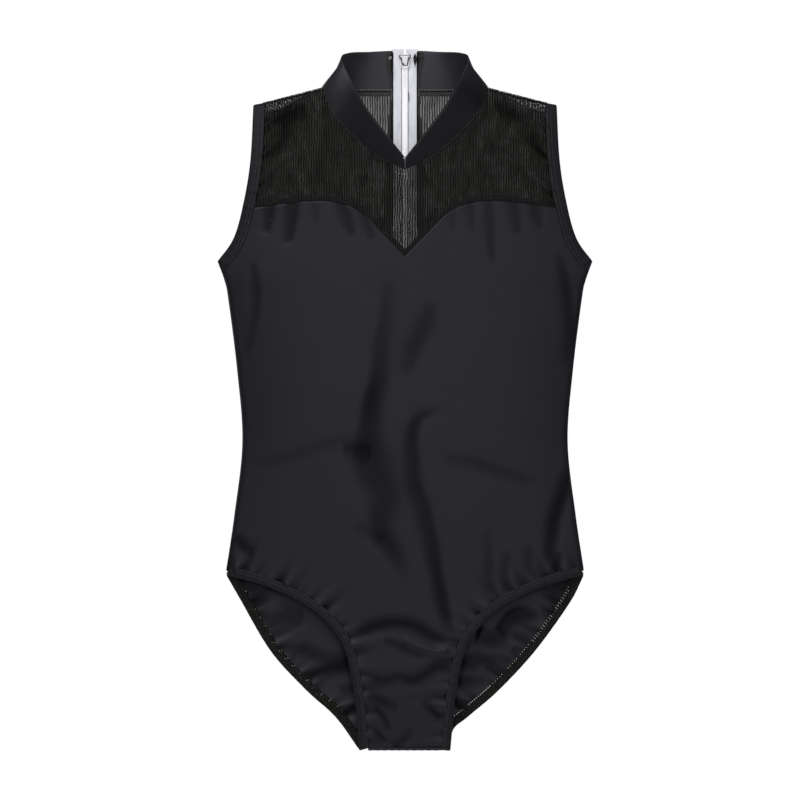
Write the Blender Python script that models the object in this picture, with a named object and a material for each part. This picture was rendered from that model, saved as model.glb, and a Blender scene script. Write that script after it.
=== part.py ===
"""Sleeveless gymnastics leotard with a mesh yoke, a mock-neck collar and a zip down the back.

The garment hangs upright and gently rounded, as if on an invisible flat figure. +Z is up, the front
faces -Y, x = 0 is the middle, and z = 0 is the fold of the crotch. "Left" names the -X half. Every panel
lies on one of two curved sheets, the front and the back, which meet along the sides, the shoulders and
the crotch. All sizes are in metres.
"""

import math

import bmesh
import bpy
from mathutils import Vector

FRONT, BACK = -1, 1
LEFT, RIGHT = -1, 1

# Outline of the right half, as (x, z). The left half mirrors it.
HIP = (0.1705, 0.168)
ARMPIT = (0.178, 0.465)
SHOULDER_TIP = (0.144, 0.614)
NECK_POINT = (0.078, 0.630)
WAIST = (0.1545, 0.294)
SIDE_LINE = (HIP, (0.162, 0.225), WAIST, (0.1595, 0.362), (0.168, 0.430), (0.1715, 0.447), ARMPIT)
ARMHOLE_LINE = (ARMPIT, (0.1625, 0.487), (0.153, 0.520), (0.1465, 0.560), SHOULDER_TIP)
CROTCH_HALF_WIDTH = 0.043
CROTCH_END = (CROTCH_HALF_WIDTH, 0.0)
FRONT_LEG_LINE = (CROTCH_END, (0.0485, 0.058), (0.060, 0.104), (0.087, 0.135), (0.128, 0.156), HIP)
BACK_LEG_LINE = (CROTCH_END, (0.062, 0.031), (0.088, 0.054), (0.129, 0.099), (0.158, 0.141), HIP)
YOKE_END = (0.1405, 0.516)
SWEETHEART_DIP = (0.0, 0.469)
SWEETHEART_LINE = (SWEETHEART_DIP, (0.019, 0.4885), (0.042, 0.511), (0.066, 0.520), (0.095, 0.521), YOKE_END)
BACK_YOKE_DIP = 0.008
COLLAR_SEAM_FRONT = ((0.0, 0.550), (0.028, 0.564), (0.052, 0.585), (0.069, 0.606), NECK_POINT)
COLLAR_SEAM_BACK = ((0.071, 0.6287), (0.045, 0.627), (0.0, 0.627))
COLLAR_TOP_FRONT = ((0.0, 0.5615), (0.017, 0.583), (0.037, 0.610), (0.050, 0.635), (0.060, 0.658))
COLLAR_TOP_BACK = ((0.053, 0.6625), (0.034, 0.6645), (0.014, 0.666), (0.0, 0.666))
COLLAR_TOP_HALF_WIDTH = 0.060

# How far each sheet stands from the plane between them, as (depth, z) where it changes with height
EDGE_DEPTH = 0.0022
BODY_DEPTH = 0.020
FULL_DEPTH = (BODY_DEPTH, 0.355)
DEPTH_LINE = ((0.0, 0.0), (0.009, 0.06), (0.014, 0.15), (0.018, 0.25), FULL_DEPTH, (BODY_DEPTH, 0.70))
SHOULDER_SLOPE = (NECK_POINT[1] - SHOULDER_TIP[1]) / (SHOULDER_TIP[0] - NECK_POINT[0])
NECK_RISE = 1.6
SHOULDER_FADE = 0.060
ARMHOLE_GAPE = 0.006
ROUNDNESS = 3

# Cloth thicknesses, and the clearance between neighbours
LYCRA = 0.0007
MESH_CLOTH = 0.0005
COLLAR_CLOTH = 0.0022
CLEARANCE = 0.0003

# Bindings, which are folded over the panels' raw edges, and the elastic inside those of the legs
BINDING_WALL = 0.0006
BINDING_HALF_HEIGHT = 0.0014
LEG_BINDING_WIDTH = 0.009
ARM_BINDING_WIDTH = 0.011
PANEL_IN_BINDING = 0.0015
PANEL_OFF_BINDING = 0.0024
FOLD_RUN = 0.017
FOLD_RUN_FULLY_CLEAR = 0.6
LEG_FOLD_BELOW_HIP = 0.0015
ARM_FOLD_ABOVE_ARMPIT = 0.0022
ELASTIC_WIDTH = 0.005
ELASTIC_THICKNESS = 0.0006

# Seam allowances, and where they and the panels stop short of their neighbours
SEAM_WIDTH = 0.006
SEAM_THICKNESS = 0.0022
SIDE_SEAM_INSET = 0.001
SIDE_SEAM_START = 0.018
SIDE_SEAM_STOP = 0.022
SHOULDER_SEAM_THICKNESS = 0.0024
SHOULDER_SEAM_START = (0.008, -0.004)
SHOULDER_SEAM_STOP = (-0.015, -0.0015)
BACK_SEAM_BOTTOM = 0.008
BACK_SEAM_TOP_GAP = 0.004
CROTCH_SEAM_END_GAP = 0.0008
GUSSET_TOP = 0.125
GUSSET_GAP = 0.0012
LEG_POINT_GAP = 0.001
SIDE_POINT_GAP = 0.004
YOKE_FOOT_GAP = 0.002
YOKE_TOP_GAP = 0.004
YOKE_SHOULDER_GAP = 0.002
YOKE_BELOW_COLLAR = (0.0006, -0.0013)
ARMHOLE_EDGE_START = 0.006
ZIP_OPENING_TAPER = 0.006

# Zip, measured from the back sheet's middle line
ZIP_TOP = 0.667
ZIP_PIVOT = 0.363
ZIP_BOTTOM = 0.361
FABRIC_EDGE = 0.005
TAPE_HALF_WIDTH = 0.012
TAPE_INNER_EDGE = 0.001
TAPE_THICKNESS = 0.0006
TAPE_SINK = 0.00115
COIL_OUTER_EDGE = 0.003
COIL_INNER_EDGE = 0.0002
COIL_OFF_TAPE = 0.0001
COIL_HEIGHT = 0.0021
COIL_BOTTOM = 0.372
SLIDER_TOP = 0.663
SLIDER_LENGTH = 0.012
SLIDER_TOP_WIDTH = 0.010
SLIDER_BOTTOM_WIDTH = 0.0064
SLIDER_PLATE = 0.0010
SLIDER_OUTER_WIDTH = 0.0076
SLIDER_CORNER = 0.0014
WEDGE_LENGTH = 0.005
WEDGE_HALF_WIDTH = 0.0007
WEDGE_BELOW_TOP = 0.0004
BAIL_WIDTH = 0.0014
BAIL_LENGTH = 0.0084
BAIL_THICKNESS = 0.0010
BAIL_ROOM = 0.0005
BAIL_CORNER = (0.0006, 0.0012)
TAB_PIVOT_STANDOFF = 0.0029
TAB_WIDTH = 0.0054
TAB_LENGTH = 0.024
TAB_THICKNESS = 0.0012
TAB_SLOT_WIDTH = 0.0024
TAB_SLOT_LENGTH = 0.0048
SLOT_OVERCUT = 0.001
STOP_HEIGHT = 0.0025
BOTTOM_STOP_HEIGHT = 0.004
BOTTOM_STOP_GAP = 0.0008
BOTTOM_STOP_BEVEL = 0.0003

# Mesh fineness
YOKE_SHOULDER_COLUMNS = 3
YOKE_NECK_COLUMNS = 6
PANEL_ROWS = 26
YOKE_ROWS = 8
COLLAR_COLUMNS = 20
COLLAR_ROWS = 3
BINDING_STATIONS = 16
GUSSET_CELLS = 8
SIDE_SEAM_CELLS = 14
BACK_SEAM_CELLS = 18
FOLD_STEPS = 4
CROTCH_SEAM_TURNS = 8
TAB_ROUND_STEPS = 6
SPLINE_STEPS = 8


# ---------------------------------------------------------------- curves

def catmull_rom(a, b, c, d, t):
    """A point between b and c, at t from 0 to 1."""
    bend = 2 * b + (c - a) * t + (2 * a - 5 * b + 4 * c - d) * t * t
    return 0.5 * (bend + (3 * b - a - 3 * c + d) * t * t * t)


def spline(points):
    """A smooth line through the points."""
    knots = [Vector(p) for p in points]
    ends = [2 * knots[0] - knots[1], *knots, 2 * knots[-1] - knots[-2]]
    line = []
    for span in range(len(knots) - 1):
        for step in range(SPLINE_STEPS):
            line.append(catmull_rom(*ends[span : span + 4], step / SPLINE_STEPS))
    return [*line, knots[-1]]


def spaced(line, count):
    """The line as count + 1 points at even distances."""
    lengths = [0.0]
    for start, end in zip(line, line[1:]):
        lengths.append(lengths[-1] + (end - start).length)
    points, span = [], 0
    for step in range(count + 1):
        along = lengths[-1] * step / count
        while span < len(line) - 2 and lengths[span + 1] < along:
            span += 1
        share = (along - lengths[span]) / (lengths[span + 1] - lengths[span])
        points.append(line[span].lerp(line[span + 1], share))
    return points


def width_at(line, z):
    """The x of a rising (x, z) line at height z."""
    for low, high in zip(line, line[1:]):
        if z <= high.y:
            break
    share = (z - low.y) / (high.y - low.y)
    return low.x + (high.x - low.x) * min(max(share, 0.0), 1.0)


def outward(line, index):
    """The unit normal at a point of a line that runs upwards, on the line's right."""
    along = line[min(index + 1, len(line) - 1)] - line[max(index - 1, 0)]
    return Vector((along.y, -along.x)).normalized()


def inset(line, distance):
    """The line moved against its outward normals."""
    return [p - outward(line, i) * distance for i, p in enumerate(line)]


def raw_edge(line, width):
    """A panel's raw edge: just inside its binding, but clear of it where the binding turns a fold."""
    lengths = [0.0]
    for start, end in zip(line, line[1:]):
        lengths.append(lengths[-1] + (end - start).length)
    edge = []
    for i, point in enumerate(line):
        from_end = min(lengths[i], lengths[-1] - lengths[i]) / FOLD_RUN
        clear = min(max(1 + FOLD_RUN_FULLY_CLEAR - from_end, 0.0), 1.0)
        distance = width - PANEL_IN_BINDING * (1 - clear) + PANEL_OFF_BINDING * clear
        edge.append(point - outward(line, i) * distance)
    return edge


def extended(line, distance):
    """The line with a point added before its start, along its tangent."""
    return [line[0] + (line[0] - line[1]).normalized() * distance, *line]


def mirrored(point):
    return Vector((-point.x, *point[1:]))


def both_halves(line):
    """A line that starts at x = 0, run from its mirror image's far end to its own."""
    return [mirrored(p) for p in reversed(line[1:])] + line


SIDE = spline(SIDE_LINE)
ARMHOLE = spline(ARMHOLE_LINE)
FRONT_LEG = spline(FRONT_LEG_LINE)
BACK_LEG = spline(BACK_LEG_LINE)
SWEETHEART = spline(SWEETHEART_LINE)
DEPTH = spline(DEPTH_LINE)


# ---------------------------------------------------------------- the two sheets

def half_width(z):
    if z > ARMPIT[1]:
        return width_at(ARMHOLE, z)
    return width_at(SIDE, max(z, HIP[1]))


def sheet_depth(x, z):
    """How far the front and the back sheet each lie from the plane y = 0."""
    across = min(abs(x) / half_width(z), 1.0)
    rise = NECK_RISE if abs(x) < NECK_POINT[0] else SHOULDER_SLOPE
    shoulder_height = NECK_POINT[1] + rise * (NECK_POINT[0] - abs(x))
    below = min(max((shoulder_height - z) / SHOULDER_FADE, 0.0), 1.0)
    body = min(width_at(DEPTH, max(z, 0.0)), BODY_DEPTH)
    body *= (1 - across**ROUNDNESS) * (1 - (1 - below) ** 2)
    up_armhole = (z - ARMPIT[1]) / (SHOULDER_TIP[1] - ARMPIT[1])
    gape = ARMHOLE_GAPE * math.sin(math.pi * min(max(up_armhole, 0.0), 1.0)) * across**ROUNDNESS
    return EDGE_DEPTH + body + gape


ZIP_Y = sheet_depth(0.0, ZIP_BOTTOM)


# ---------------------------------------------------------------- solids

def finish(name, mesh_data, colour, roughness=0.6, metallic=0.0, alpha=1.0, smooth=True):
    """Makes a bmesh into a named object with its own material."""
    bmesh.ops.recalc_face_normals(mesh_data, faces=mesh_data.faces)
    mesh = bpy.data.meshes.new(name)
    mesh_data.to_mesh(mesh)
    mesh_data.free()
    if smooth:
        mesh.shade_smooth()
        mesh.set_sharp_from_angle(angle=math.radians(40))
    part = bpy.data.objects.new(name, mesh)
    bpy.context.scene.collection.objects.link(part)
    material = bpy.data.materials.new(name)
    material.use_nodes = True
    shader = material.node_tree.nodes["Principled BSDF"]
    shader.inputs["Base Color"].default_value = (*colour, 1.0)
    shader.inputs["Roughness"].default_value = roughness
    shader.inputs["Metallic"].default_value = metallic
    shader.inputs["Alpha"].default_value = alpha
    mesh.materials.append(material)
    return part


def patch(bottom, top, left, right):
    """Rows of (x, z) points that fill four border lines, from the bottom row up."""
    rows = []
    for i, (start, end) in enumerate(zip(left, right)):
        up = i / (len(left) - 1)
        row = []
        for j, (low, high) in enumerate(zip(bottom, top)):
            across = j / (len(bottom) - 1)
            corners = bottom[0].lerp(bottom[-1], across).lerp(top[0].lerp(top[-1], across), up)
            row.append(low.lerp(high, up) + start.lerp(end, across) - corners)
        rows.append(row)
    return rows


def shell(outer, inner):
    """A closed bmesh between two grids of points of the same size."""
    made = bmesh.new()
    layers = [[[made.verts.new(p) for p in row] for row in grid] for grid in (outer, inner)]
    last_row, last_column = len(outer) - 1, len(outer[0]) - 1
    for layer in layers:
        for i in range(last_row):
            for j in range(last_column):
                made.faces.new((layer[i][j], layer[i][j + 1], layer[i + 1][j + 1], layer[i + 1][j]))
    rim = [(0, j) for j in range(last_column)] + [(i, last_column) for i in range(last_row)]
    rim += [(last_row, j) for j in range(last_column, 0, -1)] + [(i, 0) for i in range(last_row, 0, -1)]
    for (i, j), (k, m) in zip(rim, rim[1:] + rim[:1]):
        made.faces.new((layers[0][i][j], layers[0][k][m], layers[1][k][m], layers[1][i][j]))
    return made


def sheet_panel(rows, side, thickness, lift=0.0):
    """A panel of cloth over rows of (x, z) points on the front or back sheet, lifted outwards."""
    def surface(height):
        return [[Vector((p.x, side * (sheet_depth(*p) + height), p.y)) for p in row] for row in rows]

    return shell(surface(lift + thickness / 2), surface(lift - thickness / 2))


def sweep(rings, closed):
    """A closed bmesh through rings of points, as a loop or as a bar with two ends."""
    made = bmesh.new()
    loops = [[made.verts.new(p) for p in ring] for ring in rings]
    size = len(loops[0])
    for first, second in zip(loops, loops[1:] + loops[:1] if closed else loops[1:]):
        for k in range(size):
            made.faces.new((first[k], first[(k + 1) % size], second[(k + 1) % size], second[k]))
    if not closed:
        made.faces.new(loops[0])
        made.faces.new(reversed(loops[-1]))
    return made


def block(low, high):
    """A closed bmesh box between two corners."""
    made = bmesh.new()
    bmesh.ops.create_cube(made, size=1.0)
    for vert in made.verts:
        vert.co = Vector(low if c < 0 else high for c, low, high in zip(vert.co, low, high))
    return made


def plate(outline, y_low, y_high):
    """A closed bmesh: an outline of (x, z) points given thickness in y."""
    rings = [[Vector((x, y, z)) for x, z in outline] for y in (y_low, y_high)]
    return sweep(rings, closed=False)


def combine(part, helper_mesh, operation, name):
    """Adds or cuts a helper shape with a Boolean modifier."""
    helper = finish(f"{part.name}_{name}", helper_mesh, (0.5, 0.5, 0.5), smooth=False)
    helper.hide_render = True
    helper.display_type = "WIRE"
    boolean = part.modifiers.new(name, "BOOLEAN")
    boolean.operation = operation
    boolean.object = helper


# ---------------------------------------------------------------- panels

BLACK_LYCRA = (0.021, 0.021, 0.025)
BLACK_MESH = (0.015, 0.015, 0.014)
WHITE_TAPE = (0.82, 0.82, 0.85)
WHITE_METAL = (0.80, 0.80, 0.82)

COLUMNS = YOKE_SHOULDER_COLUMNS + YOKE_NECK_COLUMNS
FOLD_RADIUS = EDGE_DEPTH + BINDING_HALF_HEIGHT
ARMHOLE_EDGE = extended(raw_edge(ARMHOLE, ARM_BINDING_WIDTH), ARMHOLE_EDGE_START)


def armhole_edge(low, high):
    """The panels' raw armhole edge between two heights."""
    return [p for p in ARMHOLE_EDGE if low < p.y < high]


def body_border(leg_line, rows):
    """The right border of a body panel: up the leg hole, the side and the lower armhole."""
    leg = raw_edge(leg_line, LEG_BINDING_WIDTH)
    leg = [p for p in leg if p.y > FOLD_RADIUS and p.x < half_width(p.y) - LEG_POINT_GAP]
    bottom = Vector((leg[0].x, FOLD_RADIUS))
    side = [p for p in SIDE if leg[-1].y + SIDE_POINT_GAP < p.y < ARMHOLE_EDGE[0].y]
    end = Vector((width_at(ARMHOLE_EDGE, YOKE_END[1]), YOKE_END[1]))
    return spaced([bottom, *leg, *side, *armhole_edge(0, YOKE_END[1]), end], rows)


def front_body_panel():
    right = body_border(FRONT_LEG, PANEL_ROWS)
    left = [mirrored(p) for p in right]
    bottom = spaced([left[0], right[0]], 2 * COLUMNS)
    top = spaced(SWEETHEART[:-1] + [right[-1]], COLUMNS)
    rows = patch(bottom, both_halves(top), left, right)
    finish("front_body_panel", sheet_panel(rows, FRONT, LYCRA), BLACK_LYCRA)


def back_yoke_line(end):
    """The seam between the back body and the back yoke, a shallow curve from the zip to the armhole."""
    line = []
    for step in range(COLUMNS + 1):
        share = step / COLUMNS
        x = FABRIC_EDGE + (end.x - FABRIC_EDGE) * share
        line.append(Vector((x, end.y - BACK_YOKE_DIP * (1 - share * share))))
    return line


def back_body_panel(hand, name):
    right = body_border(BACK_LEG, PANEL_ROWS)
    bottom = spaced([Vector((CLEARANCE, FOLD_RADIUS)), right[0]], COLUMNS)
    top = back_yoke_line(right[-1])
    middle = [Vector((CLEARANCE, FOLD_RADIUS)), Vector((CLEARANCE, ZIP_BOTTOM - ZIP_OPENING_TAPER))]
    middle += [Vector((FABRIC_EDGE, ZIP_BOTTOM)), top[0]]
    rows = patch(bottom, top, spaced(middle, PANEL_ROWS), right)
    if hand == LEFT:
        rows = [[mirrored(p) for p in row] for row in rows]
    finish(name, sheet_panel(rows, BACK, LYCRA), BLACK_LYCRA)


def yoke_side(rows):
    """The yoke's right border, up the armhole's raw edge from its lower seam to the shoulder."""
    top = Vector((ARMHOLE_EDGE[-1].x, SHOULDER_TIP[1] - YOKE_TOP_GAP))
    line = armhole_edge(YOKE_END[1] + YOKE_FOOT_GAP, top.y - YOKE_SHOULDER_GAP)
    foot = Vector((line[0].x, YOKE_END[1] + CLEARANCE))
    return spaced([foot, *line, top], rows)


def yoke_top(seam, corner):
    """The yoke's upper border from the middle: along the collar's seam, then along the shoulder."""
    neck = [p + Vector(YOKE_BELOW_COLLAR) for p in seam]
    neck[0].x = seam[0].x
    shoulder = spaced([neck[-1], corner], YOKE_SHOULDER_COLUMNS)
    return spaced(neck, YOKE_NECK_COLUMNS) + shoulder[1:]


def front_yoke_mesh():
    right = yoke_side(YOKE_ROWS)
    left = [mirrored(p) for p in right]
    foot = [p + Vector((0.0, CLEARANCE)) for p in SWEETHEART[:-1]] + [right[0]]
    top = yoke_top(spline(COLLAR_SEAM_FRONT), right[-1])
    rows = patch(both_halves(spaced(foot, COLUMNS)), both_halves(top), left, right)
    finish("front_yoke_mesh", sheet_panel(rows, FRONT, MESH_CLOTH), BLACK_MESH, alpha=0.8)


def back_yoke_mesh(hand, name):
    right = yoke_side(YOKE_ROWS)
    foot = back_yoke_line(right[0])
    foot = [p + Vector((0.0, CLEARANCE)) for p in foot[:-1]] + [right[0]]
    seam = spline([NECK_POINT, *COLLAR_SEAM_BACK])
    seam = [p for p in reversed(seam) if p.x > FABRIC_EDGE]
    top = yoke_top([Vector((FABRIC_EDGE, seam[0].y)), *seam], right[-1])
    middle = spaced([foot[0], top[0]], YOKE_ROWS)
    rows = patch(foot, top, middle, right)
    if hand == LEFT:
        rows = [[mirrored(p) for p in row] for row in rows]
    finish(name, sheet_panel(rows, BACK, MESH_CLOTH), BLACK_MESH, alpha=0.8)


def gusset_lining():
    """The second layer inside the crotch, caught in both leg bindings and the crotch seam."""
    edge = inset(FRONT_LEG, LEG_BINDING_WIDTH + CLEARANCE)
    right = [p for p in edge if FOLD_RADIUS < p.y < GUSSET_TOP]
    right = spaced([Vector((right[0].x, FOLD_RADIUS)), *right], GUSSET_CELLS)
    left = [mirrored(p) for p in right]
    bottom = spaced([left[0], right[0]], GUSSET_CELLS)
    top = spaced([left[-1], right[-1]], GUSSET_CELLS)
    rows = patch(bottom, top, left, right)
    finish("crotch_gusset_lining", sheet_panel(rows, FRONT, LYCRA, -GUSSET_GAP), BLACK_LYCRA, 0.8)


# ---------------------------------------------------------------- collar

def collar_lines():
    """The right half's seam and top edge as 3D lines, from the front's middle to the back's."""
    lift = COLLAR_CLOTH / 2 - LYCRA / 2
    seam = [Vector((x, -sheet_depth(x, z) - lift, z)) for x, z in COLLAR_SEAM_FRONT[:-1]]
    seam.append(Vector((NECK_POINT[0], 0.0, NECK_POINT[1])))
    seam += [Vector((x, sheet_depth(x, z) + lift, z)) for x, z in COLLAR_SEAM_BACK]
    deep = ZIP_Y + lift
    top = []
    for side, points in ((FRONT, COLLAR_TOP_FRONT), (BACK, COLLAR_TOP_BACK)):
        for x, z in points:
            top.append(Vector((x, side * deep * (1 - (x / COLLAR_TOP_HALF_WIDTH) ** ROUNDNESS), z)))
    return spline(seam), spline(top)


def collar(hand, name):
    """Half of the stand collar, folded double, from the front's meeting line to the zip."""
    seam, top = (spaced(line, COLLAR_COLUMNS) for line in collar_lines())
    grid = []
    for row in range(COLLAR_ROWS + 1):
        up = row / COLLAR_ROWS
        points = [low.lerp(high, up) for low, high in zip(seam, top)]
        points[0].x, points[-1].x = CLEARANCE, FABRIC_EDGE
        grid.append(points)
    outer, inner = [], []
    rise = [high - low for low, high in zip(grid[0], grid[-1])]
    for row in grid:
        normals = []
        for j in range(len(row)):
            along = row[min(j + 1, len(row) - 1)] - row[max(j - 1, 0)]
            normals.append(along.cross(rise[j]).normalized() * COLLAR_CLOTH / 2)
        normals[0].x = normals[-1].x = 0.0
        outer.append([p + n for p, n in zip(row, normals)])
        inner.append([p - n for p, n in zip(row, normals)])
    if hand == LEFT:
        outer, inner = ([[mirrored(p) for p in row] for row in layer] for layer in (outer, inner))
    finish(name, shell(outer, inner), BLACK_LYCRA, 0.5)


# ---------------------------------------------------------------- bindings and elastics

def channel(width):
    """Cross-section of a binding, as (across, up) from its middle: open towards the panel."""
    edge, height, bore = width / 2, BINDING_HALF_HEIGHT, BINDING_HALF_HEIGHT - BINDING_WALL
    floor = edge - BINDING_WALL
    return ((-edge, -height), (edge, -height), (edge, height), (-edge, height),
            (-edge, bore), (floor, bore), (floor, -bore), (-edge, -bore))


def elastic_section(width):
    """Cross-section of the strip that lies along the bottom of a binding's fold."""
    far = width / 2 - BINDING_WALL - CLEARANCE
    near, half = far - ELASTIC_WIDTH, ELASTIC_THICKNESS / 2
    return ((near, -half), (far, -half), (far, half), (near, half))


def sheet_ring(edge_point, normal, section, width, side):
    """A cross-section set on a sheet, with its outer edge at edge_point."""
    ring = []
    for across, up in section:
        x, z = edge_point + normal * (across - width / 2)
        ring.append(Vector((x, side * (sheet_depth(x, z) + up), z)))
    return ring


def fold_rings(start, end, section, width, outwards):
    """Cross-sections that carry a binding round a fold, from one sheet to the other."""
    rings = []
    (from_point, from_normal, side), (to_point, to_normal, _) = start, end
    for step in range(1, FOLD_STEPS):
        share = step / FOLD_STEPS
        angle = math.pi * share
        point = from_point.lerp(to_point, share)
        normal = from_normal.lerp(to_normal, share).normalized()
        away = Vector((-normal.y, normal.x))
        away = away if away.dot(outwards) > 0 else -away
        ring = []
        for across, up in section:
            radius = EDGE_DEPTH + up
            flat = point + normal * (across - width / 2) + away * (radius * math.sin(angle))
            ring.append(Vector((flat.x, side * radius * math.cos(angle), flat.y)))
        rings.append(ring)
    return rings


def trimmed(line, low, high):
    """Evenly spaced (point, normal) pairs of an edge line, between two heights."""
    kept = spaced([p for p in line if low < p.y < high], BINDING_STATIONS)
    return [(p, outward(kept, i)) for i, p in enumerate(kept)]


def binding_loop(front_edge, back_edge, section, width, far_fold, near_fold):
    """Rings up a front edge, over the far fold, down the back edge and round the near fold."""
    rings = [sheet_ring(p, n, section, width, FRONT) for p, n in front_edge]
    rings += fold_rings((*front_edge[-1], FRONT), (*back_edge[-1], BACK), section, width, far_fold)
    rings += [sheet_ring(p, n, section, width, BACK) for p, n in reversed(back_edge)]
    rings += fold_rings((*back_edge[0], BACK), (*front_edge[0], FRONT), section, width, near_fold)
    return rings


def on_hand(rings, hand):
    return [[mirrored(p) for p in ring] for ring in rings] if hand == LEFT else rings


def leg_loop(section, hand):
    corner = HIP[1] - LEG_FOLD_BELOW_HIP
    edges = [trimmed(line, FOLD_RADIUS, corner) for line in (FRONT_LEG, BACK_LEG)]
    folds = Vector((1.0, 0.6)), Vector((0.0, -1.0))
    return sweep(on_hand(binding_loop(*edges, section, LEG_BINDING_WIDTH, *folds), hand), closed=True)


def leg_binding(hand, name):
    finish(name, leg_loop(channel(LEG_BINDING_WIDTH), hand), BLACK_LYCRA)


def leg_elastic(hand, name):
    finish(name, leg_loop(elastic_section(LEG_BINDING_WIDTH), hand), (0.7, 0.7, 0.68), 0.8)


def armhole_binding(hand, name):
    edge = trimmed(ARMHOLE, ARMPIT[1] + ARM_FOLD_ABOVE_ARMPIT, SHOULDER_TIP[1] - FOLD_RADIUS)
    section = channel(ARM_BINDING_WIDTH)
    folds = Vector((0.0, 1.0)), Vector((0.5, -0.8))
    rings = binding_loop(edge, edge, section, ARM_BINDING_WIDTH, *folds)
    finish(name, sweep(on_hand(rings, hand), closed=True), BLACK_LYCRA)


# ---------------------------------------------------------------- seam allowances

def strip(line, hand, thickness):
    """A flat bar along (x, z) points, lying in the plane y = 0 just inside them."""
    rings = []
    for i, point in enumerate(line):
        normal = outward(line, i)
        inner, outer = point - normal * SEAM_WIDTH, point
        flat = ((outer, 1), (inner, 1), (inner, -1), (outer, -1))
        rings.append([Vector((p.x, up * thickness / 2, p.y)) for p, up in flat])
    return sweep(on_hand(rings, hand), closed=False)


def side_seam(hand, name):
    low, high = HIP[1] + SIDE_SEAM_START, ARMPIT[1] - SIDE_SEAM_STOP
    line = [p - Vector((SIDE_SEAM_INSET, 0.0)) for p in SIDE if low < p.y < high]
    finish(name, strip(spaced(line, SIDE_SEAM_CELLS), hand, SEAM_THICKNESS), BLACK_LYCRA, 0.8)


def shoulder_seam(hand, name):
    """A flat bar under the shoulder fold. A hanger's arm bears on its lower face."""
    start = Vector(NECK_POINT) + Vector(SHOULDER_SEAM_START)
    end = Vector(SHOULDER_TIP) + Vector(SHOULDER_SEAM_STOP)
    finish(name, strip([end, start], hand, SHOULDER_SEAM_THICKNESS), BLACK_LYCRA, 0.8)


def back_seam():
    """The allowance inside the middle seam of the back, from the crotch to the zip."""
    rings = []
    outer_gap = LYCRA / 2 + CLEARANCE
    length = ZIP_BOTTOM - BACK_SEAM_TOP_GAP - BACK_SEAM_BOTTOM
    for step in range(BACK_SEAM_CELLS + 1):
        z = BACK_SEAM_BOTTOM + length * step / BACK_SEAM_CELLS
        y = sheet_depth(0.0, z) - outer_gap
        corners = ((-1, 0.0), (1, 0.0), (1, LYCRA), (-1, LYCRA))
        rings.append([Vector((x * SEAM_WIDTH, y - sunk, z)) for x, sunk in corners])
    finish("center_back_seam", sweep(rings, closed=False), BLACK_LYCRA, 0.8)


def crotch_seam():
    """The strip that joins the front panel and the gusset to the back, round the fold at the bottom."""
    half = CROTCH_HALF_WIDTH - LEG_BINDING_WIDTH - CROTCH_SEAM_END_GAP
    turns = range(CROTCH_SEAM_TURNS + 1)
    outline = []
    for radius, order in ((EDGE_DEPTH + LYCRA, turns), (EDGE_DEPTH - LYCRA, reversed(turns))):
        for turn in order:
            angle = math.pi * turn / CROTCH_SEAM_TURNS
            low = FOLD_RADIUS - CLEARANCE - radius * math.sin(angle)
            outline.append((-radius * math.cos(angle), low))
    rings = [[Vector((x, y, z)) for y, z in outline] for x in (-half, half)]
    finish("crotch_seam", sweep(rings, closed=False), BLACK_LYCRA, 0.6)


# ---------------------------------------------------------------- zip

TAPE_OUT = ZIP_Y - TAPE_SINK + TAPE_THICKNESS / 2
TAPE_IN = TAPE_OUT - TAPE_THICKNESS
COIL_IN = TAPE_IN - COIL_OFF_TAPE - COIL_HEIGHT
SLIDER_IN = COIL_IN - CLEARANCE
SLIDER_OUT = TAPE_OUT + CLEARANCE + SLIDER_PLATE
TAB_Y = ZIP_Y + TAB_PIVOT_STANDOFF
TAB_Z = SLIDER_TOP - SLIDER_LENGTH / 2


def sided(low_x, high_x, hand):
    """An x range given for the right half, on the hand asked for."""
    return (low_x, high_x) if hand == RIGHT else (-high_x, -low_x)


def zip_tape(hand, name, pivot):
    low, high = sided(TAPE_INNER_EDGE, TAPE_HALF_WIDTH, hand)
    tape = finish(name, block((low, TAPE_IN, ZIP_BOTTOM), (high, TAPE_OUT, ZIP_TOP)), WHITE_TAPE, 0.8)
    hang(tape, pivot)


def zip_coil(hand, name, pivot):
    low, high = sided(COIL_INNER_EDGE, COIL_OUTER_EDGE, hand)
    top = SLIDER_TOP - WEDGE_LENGTH - CLEARANCE
    made = block((low, COIL_IN, COIL_BOTTOM), (high, COIL_IN + COIL_HEIGHT, top))
    hang(finish(name, made, WHITE_TAPE, 0.4), pivot)


def top_stop(hand, name, pivot):
    """A small clamp on the tape that the slider comes up against."""
    low, high = sided(TAPE_INNER_EDGE, COIL_OUTER_EDGE, hand)
    foot = SLIDER_TOP + CLEARANCE
    made = block((low, SLIDER_IN - SLIDER_PLATE, foot), (high, TAPE_IN - COIL_OFF_TAPE, foot + STOP_HEIGHT))
    hang(finish(name, made, WHITE_METAL, 0.3, 1.0), pivot)


def bottom_stop():
    """A clamp across both coils' lower end, where the slider's travel ends."""
    top = COIL_BOTTOM - BOTTOM_STOP_GAP
    low = (-COIL_OUTER_EDGE, COIL_IN, top - BOTTOM_STOP_HEIGHT)
    made = block(low, (COIL_OUTER_EDGE, TAPE_IN - CLEARANCE, top))
    bmesh.ops.bevel(made, geom=made.edges, offset=BOTTOM_STOP_BEVEL, segments=1, affect="EDGES")
    finish("zip_bottom_stop", made, WHITE_METAL, 0.3, 1.0, smooth=False)


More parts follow.
